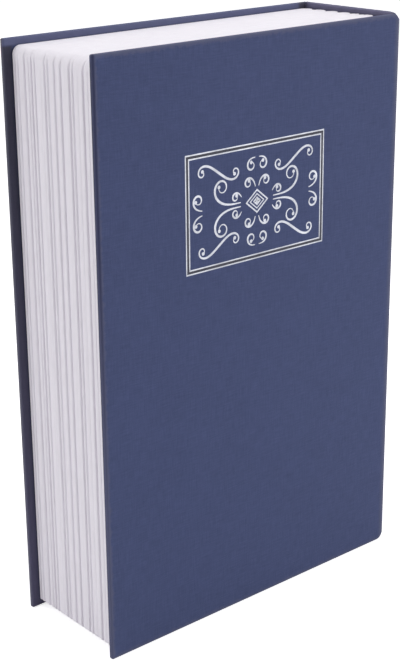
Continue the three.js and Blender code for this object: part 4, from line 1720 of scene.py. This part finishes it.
@dataclass(frozen=True)
class FoilStamp(Assembly):
    """Silver foil on the front cover: a double frame round a printer's ornament."""

    outer_x: Span = (41.42, 114.52)
    outer_z: Span = (151.55, 197.9)
    line: float = 0.52
    gap: float = 1.55
    rise: float = 0.03
    under: float = 0.02
    wave: float = 0.07
    dot: float = 0.72
    dot_steps: int = 8
    dot_tip: float = 0.02
    dot_rise: float = 0.033
    strokes: tuple[Stroke, ...] = (
        Stroke((8.6, 0.8), 0.0, 8.2, 33.0, 2.4, 0.5),
        Stroke((8.2, 2.9), 1.0, -6.6, 11.0, 1.7, 0.4),
        Stroke((28.4, 0.9), 0.2, 7.4, 17.0, 1.7, 0.44),
        Stroke((0.9, 6.0), 1.3, -7.2, 14.0, 1.8, 0.42),
        Stroke((1.0, 17.6), 0.0, -6.4, 13.0, 1.6, 0.42),
        Stroke((20.0, 14.4), 0.62, -6.6, 36.0, 3.0, 0.5, True),
    )
    lozenges: tuple[Triple, ...] = ((5.6, 4.5, 0.3), (3.6, 2.9, 0.22), (1.2, 1.0, 0.6))

    def ribbon(
        self, shape: Shape, path: Outline, halves: list[float], closed: bool, rise: float
    ) -> None:
        """Lay one line on the cover's face.

        Args:
            shape: Where it goes.
            path: Its middle.
            halves: Half its width at each point.
            closed: Whether it ends where it starts.
            rise: How far it stands proud of the cloth.
        """
        befores = (path[-1:] if closed else path[:1]) + path[:-1]
        afters = path[1:] + (path[:1] if closed else path[-1:])
        rows = []
        for (x, z), before, after, half in zip(path, befores, afters, halves):
            along = Vector((after[0] - before[0], after[1] - before[1])).normalized()
            side = Vector((-along.y, along.x)) * half
            row = []
            for sign, out in ((-1, -self.under), (-1, rise), (1, rise), (1, -self.under)):
                px, pz = x + sign * side.x, z + sign * side.y
                y = -self.wave * waviness(px, pz) - out
                row.append(shape.mesh.verts.new(to_part(px, y, pz)))
            rows.append(row)
        for first, second in zip(rows, rows[1:] + (rows[:1] if closed else [])):
            shape.wall(first, second)
        if not closed:
            shape.mesh.faces.new(rows[0])
            shape.mesh.faces.new(rows[-1])

    def outline(self, shape: Shape, path: Outline, half: float, rise: float) -> None:
        """Lay a closed line with mitred corners."""
        mitre = math.sqrt(2)
        halves = [half * (mitre if i % SIDE_POINTS == 0 else 1) for i in range(len(path))]
        self.ribbon(shape, path, halves, True, rise)

    def blob(self, shape: Shape, x: float, z: float) -> None:
        """End a stroke in a dot."""
        count = self.dot_steps
        turns = [math.pi / 2 * (2 * i / count - 1) for i in range(count + 1)]
        path = [(x + self.dot * math.sin(turn), z) for turn in turns]
        halves = [max(self.dot * math.cos(turn), self.dot_tip) for turn in turns]
        self.ribbon(shape, path, halves, False, self.dot_rise)

    def ornament(self) -> Piece:
        """Draw scrolls in three rows round a lozenge, alike on all four sides."""
        x, z = sum(self.outer_x) / 2, sum(self.outer_z) / 2
        shape = Shape()
        for wide, tall, half in self.lozenges:
            self.outline(shape, lozenge(x, z, wide, tall), half, self.rise)
        for stroke in self.strokes:
            for side, up in ((-1, -1), (-1, 1), (1, -1), (1, 1)):
                path = [(x + side * px, z + up * pz) for px, pz in stroke.path()]
                self.ribbon(shape, path, stroke.halves(), False, self.rise)
                for end in path[-1:] + (path[:1] if stroke.two_ended else []):
                    self.blob(shape, *end)
        return shape.finish("foil_ornament")

    def frame_line(self, name: str, insets: Span, half: float, rise: float) -> Piece:
        """Lay closed lines round the frame, each drawn in by its inset."""
        shape = Shape()
        for inset in insets:
            self.outline(shape, box_path(self.outer_x, self.outer_z, inset), half, rise)
        return shape.finish(name)

    def build(self) -> None:
        """Make and dress the foil and the cloth pressed down between its lines."""
        middle = self.gap / 2
        lines = self.frame_line("foil_frame", (0.0, self.gap), self.line / 2, self.rise)
        self.take(lines, "front_cover", Finish.FOIL, "silver_foil")
        ground = self.frame_line("foil_impression", (middle,), middle, self.rise / 3)
        self.take(ground, "front_cover", Finish.PRESSED, "book_cloth")
        self.take(self.ornament(), "front_cover", Finish.FOIL, "silver_foil")


@dataclass(frozen=True)
class SteelBox(Assembly):
    """Five-sided box of folded sheet with a flange, its felt pad and its strike."""

    bend: float = 0.9
    bend_steps: int = 4
    ease: float = 0.15
    liner_gap: float = 0.5
    screw_hole: float = 1.4
    back_edge: tuple[Span, ...] = ((0.0, -0.6), (0.18, -0.18), (0.6, 0.0))
    pad_edge: tuple[Span, ...] = ((0.4, 0.0), (0.4, 1.2), (0.5, 1.7), (0.8, 2.0))

    def inner(self, inset: float) -> Outline:
        """Outline of the box's inside."""
        return rounded(BOOK.mouth_x, BOOK.mouth_z, BOOK.box_corner - BOOK.steel, inset)

    def body(self) -> Piece:
        """Fold the box."""
        front, flange_back, back = BOOK.flange_front, BOOK.flange_back, BOOK.block_y[1]
        floor, radius, bend = back - BOOK.steel, BOOK.box_corner, self.bend
        shape = Shape()
        edge = ((self.ease, front), (0.0, front + self.ease), (0.0, flange_back))
        rows = [(rounded(*BOOK.flange_box, radius, inset), y) for inset, y in edge]
        flange_front, flange_rear = shape.tube(rows)
        turns = quarter(self.bend_steps)
        inside = [(-bend * (1 - math.sin(a)), front + bend * (1 - math.cos(a))) for a in turns]
        inside += [(bend * (1 - math.cos(a)), floor - bend * (1 - math.sin(a))) for a in turns]
        mouth = shape.sunk([(self.inner(inset), y) for inset, y in inside])
        outside = [(0.0, flange_back)]
        outside += [(inset, back + down) for inset, down in self.back_edge]
        rows = [(rounded(BOOK.box_x, BOOK.box_z, radius, inset), y) for inset, y in outside]
        shoulder = shape.sunk(rows)
        holes = [(*place, self.screw_hole) for place in BOOK.screw_places]
        holes += [(BOOK.rivet_x[1], z, BOOK.rivet_hole) for z in BOOK.rivet_z]
        faces = ([flange_front, mouth], [flange_rear, shoulder])
        shape.pierced(*faces, holes, (front, flange_back))
        return shape.finish("steel_box")

    def pad(self) -> Piece:
        """Cut the felt pad on the box's floor."""
        floor = BOOK.block_y[1] - BOOK.steel
        edge = [(self.liner_gap + inset, floor - rise) for inset, rise in self.pad_edge]
        return solid("felt_pad", [(self.inner(inset), y) for inset, y in edge])

    def build(self) -> None:
        """Make and dress the box."""
        self.take(self.body(), "case_back", Finish.BOX_PAINT, "painted_steel", "box_body")
        self.take(self.pad(), "case_back", Finish.FELT, "felt", "box_liner")
        self.keep("strike_plate", Finish.ZINC, "plated_steel")


class Repeater:
    """Geometry Nodes tree that sets copies of a piece in rows and columns."""

    def __init__(self) -> None:
        """Build the tree with its named inputs."""
        self.tree = bpy.data.node_groups.new("rows_of_copies", "GeometryNodeTree")
        face = self.tree.interface
        kinds = {"Piece": "Geometry", "Count": "Int", "Step": "Vector", "Rows": "Int"}
        kinds |= {"Row Step": "Vector", "Turn": "Float", "Seed": "Int", "Finish": "Material"}
        self.sockets = {}
        for label, kind in kinds.items():
            made = face.new_socket(label, in_out="INPUT", socket_type="NodeSocket" + kind)
            self.sockets[label] = made.identifier
        face.new_socket("Piece", in_out="OUTPUT", socket_type="NodeSocketGeometry")
        wiring = Wiring(self.tree)
        given = wiring.node("NodeGroupInput").outputs
        column, across = [
            wiring.node("GeometryNodeMeshLine", {"Count": given[count], "Offset": given[step]})
            for count, step in (("Count", "Step"), ("Rows", "Row Step"))
        ]
        feeds = {"Points": across.outputs["Mesh"], "Instance": column.outputs["Mesh"]}
        grid = wiring.node("GeometryNodeInstanceOnPoints", feeds)
        points = wiring.node("GeometryNodeRealizeInstances", {0: grid.outputs[0]})
        feeds = {"Seed": given["Seed"]}
        for limit, sign in (("Min", -1.0), ("Max", 1.0)):
            turn = {"Y": wiring.times(given["Turn"], sign)}
            feeds[limit] = wiring.node("ShaderNodeCombineXYZ", turn).outputs[0]
        chance = wiring.node("FunctionNodeRandomValue", data_type="FLOAT_VECTOR")
        for label, value in feeds.items():
            wiring.feed(chance.inputs[label], value)
        feeds = {"Points": points.outputs[0], "Instance": given["Piece"]}
        feeds["Rotation"] = chance.outputs[0]
        copies = wiring.node("GeometryNodeInstanceOnPoints", feeds)
        realised = wiring.node("GeometryNodeRealizeInstances", {0: copies.outputs[0]})
        feeds = {"Geometry": realised.outputs[0], "Material": given["Finish"]}
        finish = wiring.node("GeometryNodeSetMaterial", feeds)
        wiring.node("NodeGroupOutput", {0: finish.outputs[0]})

    def repeat(
        self, piece: Piece, start: Vector, material: bpy.types.Material, **inputs: object
    ) -> Piece:
        """Repeat a piece and settle the result into a plain mesh.

        Args:
            piece: One copy, built round the part's origin.
            start: Place of the first copy, in metres.
            material: Their finish.
            inputs: The tree's other inputs by name, with _ for blanks, in millimetres.

        Returns:
            The finished piece.
        """
        made = piece.modifiers.new("rows", "NODES")
        made.node_group = self.tree
        values = {"Rows": 1, "Row_Step": (0.0, 0.0, 0.0), "Turn": 0.0, "Seed": 11}
        for name, value in (values | inputs | {"Finish": material}).items():
            held = [v * MM for v in value] if isinstance(value, tuple) else value
            made[self.sockets[name.replace("_", " ")]] = held
        whole = settled(piece)
        whole.data.transform(Matrix.Translation(start))
        return whole


@dataclass(frozen=True)
class Fasteners(Assembly):
    """Screws of the flange and rivets of the hinge, each turned at the part's origin."""

    repeater: Repeater
    screw_radius: float = 1.1
    screw_head: float = 2.4
    screw_rise: float = 1.1
    screw_length: float = 9.0
    point: float = 1.5
    arm: float = 0.56
    arm_half: float = 0.13
    rivet_radius: float = 0.9
    rivet_head: float = 1.7
    rivet_rise: float = 0.7
    rivet_dome: float = 0.94
    cross: Span = (0.1, 0.65)
    tail_end: float = 0.8
    angle: float = 35.0

    def screw(self) -> Piece:
        """Turn one pan-head screw with a cross recess, its seat at the origin."""
        x, y = BOOK.width / 2, BOOK.thickness / 2
        top, end = y - self.screw_rise, y + self.screw_length
        dome = ((0.74, 0.1), (0.88, 0.28), (0.97, 0.5), (1.0, 0.72), (1.0, 1.0))
        profile = [(a * self.screw_head, top + down * self.screw_rise) for a, down in dome]
        profile += [(self.screw_radius, depth) for depth in (y, end - self.point)]
        shape = Shape()
        crown, shank = shape.tube([(circle(x, 0, radius), depth) for radius, depth in profile])
        shape.tip(shank, shape.place(x, 0, end))
        arm, half = self.arm * self.screw_head, self.arm_half * self.screw_head
        cross = [
            (x + a * math.cos(turn) - b * math.sin(turn), a * math.sin(turn) + b * math.cos(turn))
            for turn in (side * math.pi / 2 for side in range(4))
            for a, b in ((arm, -half), (arm, half), (half, half))
        ]
        rim = shape.sunk([(cross, top + share * self.screw_rise) for share in self.cross])
        shape.plane(crown, rim)
        return shape.finish("box_screws", self.angle)

    def rivet(self, name: str, sheet: float, tail: bool) -> Piece:
        """Turn one domed rivet, the leaf's outer face at the origin.

        Args:
            name: Name of the piece.
            sheet: Leaf's outer face to the back of the sheet under it.
            tail: Whether its tail is set behind the sheet.

        Returns:
            One rivet.
        """
        x, y = BOOK.width / 2, BOOK.thickness / 2
        head, shank, back = self.rivet_head, self.rivet_radius, y + sheet
        top = y - self.rivet_rise
        profile = [(0.0, top)]
        for share in (0.25, 0.5, 0.72, 0.9, 1.0):
            down = 1 - math.sqrt(1 - self.rivet_dome * share * share)
            profile.append((share * head, top + down * self.rivet_rise))
        profile += [(head, y), (shank, y), (shank, back)]
        if tail:
            end = back + self.rivet_rise
            profile += [(head, back), (self.tail_end * head, end), (0.0, end)]
        else:
            profile.append((0.0, back))
        shape = Shape()
        shape.turned(x, 0, profile, DRILL_SIDES)
        return shape.finish(name, self.angle)

    def build(self) -> None:
        """Make and dress the screws and rivets."""
        zinc = self.wardrobe.materials[Finish.ZINC]
        x, z = BOOK.screw_lines
        start = to_part(x[0], BOOK.flange_front, z[0])
        steps = {"Step": (0.0, 0.0, z[1] - z[0]), "Row_Step": (x[1] - x[0], 0.0, 0.0)}
        counts = {"Count": 2, "Rows": 2, "Turn": math.pi}
        screws = self.repeater.repeat(self.screw(), start, zinc, **counts, **steps)
        nodes = [f"box_screw_{i}" for i in range(1, 5)]
        self.take(screws, "case_back", Finish.ZINC, "plated_steel", *nodes)
        heights = BOOK.rivet_z
        step = (0.0, 0.0, heights[1] - heights[0])
        for side, body, place, under in (
            ("box", "case_back", BOOK.rivet_x[1], BOOK.steel),
            ("lid", "lid", BOOK.rivet_x[0], BOOK.lid_steel),
        ):
            rivet = self.rivet(f"{side}_rivets", under + BOOK.leaf, side == "lid")
            start = to_part(place, BOOK.flange_front - BOOK.leaf, heights[0])
            row = self.repeater.repeat(rivet, start, zinc, Count=len(heights), Step=step)
            nodes = [f"{side}_rivet_{i}" for i in range(1, 5)]
            self.take(row, body, Finish.ZINC, "plated_steel", *nodes)


@dataclass(frozen=True)
class Hinge(Assembly):
    """Continuous hinge: two leaves with rolled knuckles on one pin."""

    repeater: Repeater
    leaf_width: float = 7.5
    leaf_corner: float = 0.7
    knuckles: int = 7
    gap: float = 0.3
    pin_radius: float = 0.95
    pin_ease: float = 0.3
    bore: float = 1.03
    ease: float = 0.12
    neck_inset: float = 0.5
    neck_overlap: float = 1.0
    leaf_ease: float = 0.1

    @property
    def pitch(self) -> float:
        """Length of one knuckle's share of the hinge."""
        start, end = BOOK.hinge_z
        return (end - start) / self.knuckles

    @staticmethod
    def rod(x: float, y: float, radius: float, ends: Span, ease: float) -> Rows:
        """Outlines of a rod with eased ends."""
        start, end = ends
        places = ((ease, start), (0.0, start + ease), (0.0, end - ease), (ease, end))
        return [(circle(x, y, radius - inset), height) for inset, height in places]

    def knuckle(self, name: str, side: int) -> Piece:
        """Roll one knuckle, its axis through the origin and its foot at height 0.

        Args:
            name: Name of the piece.
            side: 1 for the box's leaf, -1 for the lid's.

        Returns:
            One knuckle with its neck.
        """
        x, y = BOOK.width / 2, BOOK.thickness / 2
        ends, outer = (0.0, self.pitch - self.gap), BOOK.knuckle_radius
        bore = [(circle(x, y, self.bore), height) for height in ends]
        rod = self.rod(x, y, outer, ends, self.ease)
        roll = solid(name, rod, bore, Facing.HEAD)
        root = x + side * (self.bore + outer) / 2
        reach = x + side * (outer + BOOK.edge_gap + self.neck_overlap)
        face = y + BOOK.hinge_rise
        outline = [(root, face - BOOK.leaf), (reach, face - BOOK.leaf), (reach, face), (root, face)]
        neck = [(outline, height) for height in narrowed(ends, self.neck_inset)]
        return joined(roll, solid(name + "_neck", neck, facing=Facing.HEAD))

    def plate(self, name: str, side: int) -> Piece:
        """Cut one leaf with its rivet holes."""
        reaches = (BOOK.edge_gap, self.leaf_width)
        edges = [BOOK.hinge_x + side * (BOOK.knuckle_radius + reach) for reach in reaches]
        x, back = (min(edges), max(edges)), BOOK.flange_front
        front = back - BOOK.leaf
        shape = Shape()
        rows = ((self.leaf_ease, front), (0.0, front + self.leaf_ease), (0.0, back))
        first, last = shape.tube(
            [(rounded(x, BOOK.hinge_z, self.leaf_corner, inset), y) for inset, y in rows]
        )
        holes = [(BOOK.rivet_x[side > 0], z, BOOK.rivet_hole) for z in BOOK.rivet_z]
        shape.pierced([first], [last], holes, (front, back))
        return shape.finish(name)

    def pin(self) -> Piece:
        """Turn the pin with its eased ends."""
        axis = (BOOK.hinge_x, BOOK.hinge_y)
        rows = self.rod(*axis, self.pin_radius, BOOK.hinge_z, self.pin_ease)
        return solid("hinge_pin_rod", rows, facing=Facing.HEAD)

    def build(self) -> None:
        """Make and dress the hinge."""
        zinc = self.wardrobe.materials[Finish.ZINC]
        for side, body, label in ((1, "case_back", "box"), (-1, "lid", "lid")):
            odd = side < 0
            foot = BOOK.hinge_z[0] + (self.pitch if odd else 0.0) + self.gap / 2
            rolls = self.repeater.repeat(
                self.knuckle(f"{label}_leaf", side),
                to_part(BOOK.hinge_x, BOOK.hinge_y, foot),
                zinc,
                Count=(self.knuckles + (not odd)) // 2,
                Step=(0.0, 0.0, 2 * self.pitch),
            )
            leaf = joined(rolls, self.plate(f"{label}_plate", side))
            self.take(leaf, body, Finish.ZINC, "plated_steel", f"{label}_hinge_leaf")
        self.take(self.pin(), "case_back", Finish.ZINC, "plated_steel", "hinge_pin")


@dataclass(frozen=True)
class Lid(Assembly):
    """Inset lid: a sheet with its four edges folded back."""

    bend: float = 0.8
    bend_steps: int = 5
    corner: float = 2.4
    ease: float = 0.4
    barrel: float = 7.1
    flat: float = 6.2
    sides: int = 48
    angle: float = 35.0

    def build(self) -> None:
        """Make and dress the lid."""
        front, steel = BOOK.flange_front, BOOK.lid_steel
        back, end = front + steel, front + BOOK.lid_depth
        outside = [
            (self.bend * (1 - math.sin(angle)), front + self.bend * (1 - math.cos(angle)))
            for angle in quarter(self.bend_steps)
        ]
        outside.append((0.0, end))
        inside = ((steel, end), (steel, back + self.ease), (steel + self.ease, back))
        shape = Shape()
        (face, rim), (lip, floor) = [
            shape.tube([(rounded(BOOK.lid_x, BOOK.lid_z, self.corner, a), y) for a, y in rows])
            for rows in (outside, inside)
        ]
        shape.plane(rim, lip)
        x, z = BOOK.lock
        barrel = circle(x, z, self.barrel, self.sides)
        lock_hole = clipped(barrel, (x - self.flat, x + self.flat))
        near, far = shape.tube([(lock_hole, front), (lock_hole, back)])
        holes = [(BOOK.rivet_x[0], height, BOOK.rivet_hole) for height in BOOK.rivet_z]
        shape.pierced([face, near], [floor, far], holes, (front, back))
        piece = shape.finish("lid_sheet", self.angle)
        self.take(piece, "lid", Finish.LID_PAINT, "painted_steel", "lid_panel")


@dataclass(frozen=True)
class CamLock(Assembly):
    """Cam lock: body, washer and nut on the lid; plug, cam and screw that turn."""

    head: float = 9.0
    head_rise: float = 2.0
    barrel: float = 6.8
    flat: float = 5.9
    reach: float = 8.0
    plug: float = 4.2
    fit: float = 0.08
    plug_recess: float = 0.3
    key: Span = (0.75, 2.8)
    key_deep: float = 6.0
    tang: float = 5.0
    washer: float = 0.8
    washer_ease: float = 0.1
    nut_ease: float = 0.3
    nut_rise: float = 3.0
    nut_radius: float = 9.0
    cam: float = 1.6
    cam_wide: float = 9.0
    strike: float = 1.2
    strike_gap: float = 1.0
    screw: float = 1.1
    sides: int = 48
    arc: int = 20
    ease: float = 0.15
    tip: float = 0.3
    mouth: float = 0.12
    corner: float = 0.25
    key_corner: float = 0.35
    key_ease: Span = (0.18, 0.25)
    angle: float = 32.0

    @property
    def barrel_end(self) -> float:
        """Back end of the barrel."""
        return BOOK.flange_front + self.reach

    @property
    def cam_front(self) -> float:
        """Front face of the cam."""
        strike_back = BOOK.flange_front + BOOK.lid_depth + self.strike_gap + self.strike
        return max(self.barrel_end, strike_back) + 2 * BOOK.clearance

    @property
    def tang_end(self) -> float:
        """Back end of the plug's square."""
        return self.cam_front + self.cam + BOOK.clearance

    def disc(self, radius: float) -> Outline:
        """Outline of a circle round the axis."""
        return circle(*BOOK.lock, radius, self.sides)

    def flats(self, radius: float, grow: float) -> Outline:
        """Outline of the barrel or of a hole for it."""
        flat = self.flat + grow
        return clipped(self.disc(radius + grow), (BOOK.lock[0] - flat, BOOK.lock[0] + flat))

    def box(self, halves: Span, radius: float, inset: float = 0.0) -> Outline:
        """Outline of a rectangle round the axis, its corners slightly round."""
        (x, z), (wide, tall) = BOOK.lock, halves
        return rounded((x - wide, x + wide), (z - tall, z + tall), radius, inset)

    def square(self, half: float) -> Outline:
        """Outline of the plug's square or of a hole for it."""
        return self.box((half, half), self.corner)

    def capsule(self, inset: float) -> Outline:
        """Outline of the cam, round at both ends."""
        x, z = BOOK.lock
        radius = self.cam_wide / 2
        tip = z - (BOOK.lock_inset - self.strike - 2 * BOOK.clearance) + radius
        return [
            (x + (radius - inset) * math.cos(turn), middle + (radius - inset) * math.sin(turn))
            for middle, start in ((z, 0.0), (tip, math.pi))
            for turn in (start + math.pi * i / self.arc for i in range(self.arc + 1))
        ]

    def housing(self) -> Piece:
        """Turn the body with its flange-shaped head and flatted barrel."""
        back, end, head = BOOK.flange_front, self.barrel_end, self.head
        front, bore = back - self.head_rise, self.plug + self.fit
        profile = [(bore + 1.0, 0.12), (bore + 1.25, 0.0), (head - 1.3, 0.0), (head - 0.75, 0.1)]
        profile += [(head - 0.3, 0.35), (head - 0.08, 0.75), (head, 1.15), (head, self.head_rise)]
        shape = Shape()
        face, shoulder = shape.tube([(self.disc(radius), front + y) for radius, y in profile])
        flats, tip = self.flats(self.barrel, 0.0), self.flats(self.barrel, -self.tip)
        rows = [(flats, back), (flats, end - self.tip), (tip, end)]
        barrel_front, barrel_back = shape.tube(rows)
        shape.plane(shoulder, barrel_front)
        wide, deep = bore + self.mouth, front + self.mouth
        mouth = ((wide, deep), (bore, front + 2 * self.mouth), (bore, end))
        near, far = shape.tube([(self.disc(radius), y) for radius, y in mouth])
        shape.plane(face, near)
        shape.plane(barrel_back, far)
        return shape.finish("lock_body", self.angle)

    def plug_piece(self) -> Piece:
        """Turn the plug and cut its keyway."""
        front = BOOK.flange_front - self.head_rise + self.plug_recess
        end, tang_end = self.barrel_end + BOOK.clearance, self.tang_end
        shape = Shape()
        eased = (self.plug - self.ease, front)
        edge = (eased, (self.plug, front + self.ease), (self.plug, end))
        face, back = shape.tube([(self.disc(radius), y) for radius, y in edge])
        wide, deep = self.key_ease
        keyway, eased = [self.box(self.key, self.key_corner, -out) for out in (0.0, wide)]
        rows = [(eased, front), (keyway, front + deep), (keyway, front + self.key_deep)]
        shape.plane(face, shape.sunk(rows))
        square = self.square(self.tang / 2)
        tang_front, tang_back = shape.tube([(square, end), (square, tang_end)])
        shape.plane(back, tang_front)
        depths = (tang_end, self.barrel_end + BOOK.clearance)
        hole = drilled(*BOOK.lock, self.screw + BOOK.clearance, depths)
        shape.plane(tang_back, shape.sunk(hole))
        return shape.finish("lock_plug_core", self.angle)

    def ring(self, name: str, outer: Outline, inner: Outline, y: Span, ease: float) -> Piece:
        """Make a flat ring with eased outer edges.

        Args:
            name: Name of the piece.
            outer: Its outside.
            inner: Its hole.
            y: Front and back face.
            ease: How far the outer edges are taken off.

        Returns:
            The ring.
        """
        x, z = BOOK.lock
        share = 1 - ease / self.nut_radius
        drawn = [(x + (a - x) * share, z + (b - z) * share) for a, b in outer]
        outside = [(drawn, y[0]), (outer, y[0] + ease), (outer, y[1] - ease), (drawn, y[1])]
        return solid(name, outside, [(inner, depth) for depth in y], angle=self.angle)

    def cam_piece(self) -> Piece:
        """Cut the cam with its square hole."""
        front, back, ease = self.cam_front, self.cam_front + self.cam, self.ease
        edge = ((ease, front), (0.0, front + ease), (0.0, back - ease), (ease, back))
        hole = self.square(self.tang / 2 + BOOK.clearance)
        outside = [(self.capsule(inset), y) for inset, y in edge]
        return solid("turning_cam", outside, [(hole, front), (hole, back)], angle=self.angle)

    def screw_piece(self) -> Piece:
        """Turn the screw that holds the cam."""
        start, end = self.barrel_end + 2 * BOOK.clearance, self.tang_end
        wide = self.tang / 2 + 1
        profile = [(0.0, start), (self.screw, start), (self.screw, end)]
        for inset, rise in ((0.1, 0.0), (0.0, 0.1), (0.0, 0.5), (0.25, 0.85), (1.0, 1.1)):
            profile.append((wide - inset, end + rise))
        profile.append((0.0, end + 1.1))
        shape = Shape()
        shape.turned(*BOOK.lock, profile)
        return shape.finish("cam_screw_head", self.angle)

    def build(self) -> None:
        """Make and dress the lock."""
        lid_back = BOOK.flange_front + BOOK.lid_steel
        nut_front = lid_back + self.washer
        nut_y = (nut_front, nut_front + self.nut_rise)
        self.take(self.housing(), "lid", Finish.CHROME, "chrome_lock", "lock_housing")
        outer, inner = self.disc(self.nut_radius), self.flats(self.barrel, BOOK.clearance)
        faces = (lid_back, nut_front)
        washer = self.ring("lock_washer_ring", outer, inner, faces, self.washer_ease)
        self.take(washer, "lid", Finish.ZINC, "plated_steel", "lock_washer")
        hexagon = divided(circle(*BOOK.lock, self.nut_radius, 6), ROUND_STEPS)
        hole = self.disc(self.barrel + BOOK.clearance)
        nut = self.ring("lock_nut_hexagon", hexagon, hole, nut_y, self.nut_ease)
        self.take(nut, "lid", Finish.ZINC, "plated_steel", "lock_nut")
        self.take(self.plug_piece(), "lock", Finish.CHROME, "chrome_lock", "lock_plug")
        self.take(self.cam_piece(), "lock", Finish.ZINC, "plated_steel", "lock_cam")
        self.take(self.screw_piece(), "lock", Finish.ZINC, "plated_steel", "cam_screw")


@dataclass(frozen=True)
class Lamp:
    """A square soft lamp: where it hangs from the object, its size and its power."""

    name: str
    direction: Triple
    distance: float
    size: float
    power: float


@dataclass(frozen=True)
class Studio:
    """Floor, light and camera."""

    place: Triple = (-0.38705, -0.43971, 0.31759)
    right: Triple = (0.75509, -0.655547, -0.009869)
    up: Triple = (0.223301, 0.242997, 0.943975)
    forward: Triple = (0.616422, 0.71499, -0.329869)
    lens: float = 80.26
    sensor: float = 36.0
    clip: Span = (0.01, 50.0)
    sky: float = 0.26
    sky_tint: tuple[float, ...] = (0.98, 0.985, 1.0, 1.0)
    floor_tint: tuple[float, ...] = (0.92, 0.92, 0.93, 1.0)
    lamps: tuple[Lamp, ...] = (
        Lamp("top", (0.0, 0.1, 1.0), 1.6, 1.6, 17.0),
        Lamp("left", (-1.0, 0.5, 0.08), 1.6, 1.0, 8.5),
        Lamp("right", (0.9, -1.0, 0.5), 1.6, 1.2, 12.5),
    )
    target: Triple = (0.0, 0.0, 0.12)
    floor_size: float = 10.0
    floor_drop: float = 0.0001
    floor_glow: float = 0.7

    def camera(self) -> None:
        """Set up the camera at the photograph's viewing angle."""
        data = bpy.data.cameras.new("camera")
        data.lens = self.lens
        data.sensor_width = self.sensor
        data.clip_start, data.clip_end = self.clip
        made = placed("camera", data)
        back = [-v for v in self.forward]
        turned = Matrix((self.right, self.up, back)).transposed().to_4x4()
        made.matrix_world = Matrix.Translation(self.place) @ turned
        bpy.context.scene.camera = made

    def hang(self, lamp: Lamp) -> None:
        """Hang one soft lamp, turned to the object."""
        data = bpy.data.lights.new(lamp.name, "AREA")
        data.shape = "SQUARE"
        data.size = lamp.size
        data.energy = lamp.power
        made = placed(lamp.name, data)
        away = Vector(lamp.direction).normalized()
        made.location = Vector(self.target) + away * lamp.distance
        made.rotation_mode = "QUATERNION"
        made.rotation_quaternion = away.to_track_quat("Z", "Y")

    @staticmethod
    def seen_directly(wiring: Wiring) -> Socket:
        """1 for rays from the camera, off gloss and through glass."""
        path = wiring.node("ShaderNodeLightPath").outputs
        kinds = ("Camera", "Glossy", "Transmission")
        return wiring.math("MAXIMUM", *[path[f"Is {kind} Ray"] for kind in kinds])

    def world(self) -> None:
        """White surroundings that light the object more softly than they look."""
        world = bpy.data.worlds.new("white_room")
        bpy.context.scene.world = world
        world.use_nodes = True
        world.node_tree.nodes.clear()
        wiring = Wiring(world.node_tree)
        feeds = {0: self.seen_directly(wiring)}
        tones = ((self.sky_tint, self.sky), (WHITE, 1.0))
        for socket, (colour, strength) in enumerate(tones, 1):
            tone = {"Color": colour, "Strength": strength}
            feeds[socket] = wiring.node("ShaderNodeBackground", tone).outputs[0]
        mix = wiring.node("ShaderNodeMixShader", feeds)
        wiring.node("ShaderNodeOutputWorld", {0: mix.outputs[0]})

    def floor(self) -> None:
        """Lay a pale floor that keeps the object's shadow."""
        mesh = bmesh.new()
        bmesh.ops.create_grid(mesh, x_segments=2, y_segments=2, size=self.floor_size / 2)
        bmesh.ops.translate(mesh, verts=mesh.verts, vec=(0, 0, -self.floor_drop))
        made = placed("floor", as_data("floor", mesh))
        gloss = {"Roughness": 0.9, "Specular_IOR_Level": 0.0}
        tints = {"Base_Color": self.floor_tint, "Emission_Color": WHITE}
        coat = Coat("pale_floor", **gloss, **tints)
        glow = coat.times(self.seen_directly(coat), self.floor_glow)
        coat.join("Emission Strength", glow)
        made.data.materials.append(coat.material)

    def build(self) -> None:
        """Set up everything round the object."""
        bpy.context.scene.view_settings.view_transform = "Standard"
        self.world()
        self.floor()
        for lamp in self.lamps:
            self.hang(lamp)
        self.camera()


def main() -> None:
    """Build the studio and the sub-assemblies in order."""
    logging.basicConfig(level=logging.INFO, format="%(name)s %(message)s")
    Studio().build()
    wardrobe = Wardrobe()
    repeater = Repeater()
    for assembly in (Case, FoilStamp, PageBlock, SteelBox):
        assembly(wardrobe).build()
    Hinge(wardrobe, repeater).build()
    Fasteners(wardrobe, repeater).build()
    Lid(wardrobe).build()
    CamLock(wardrobe).build()


if __name__ == "__main__":
    main()
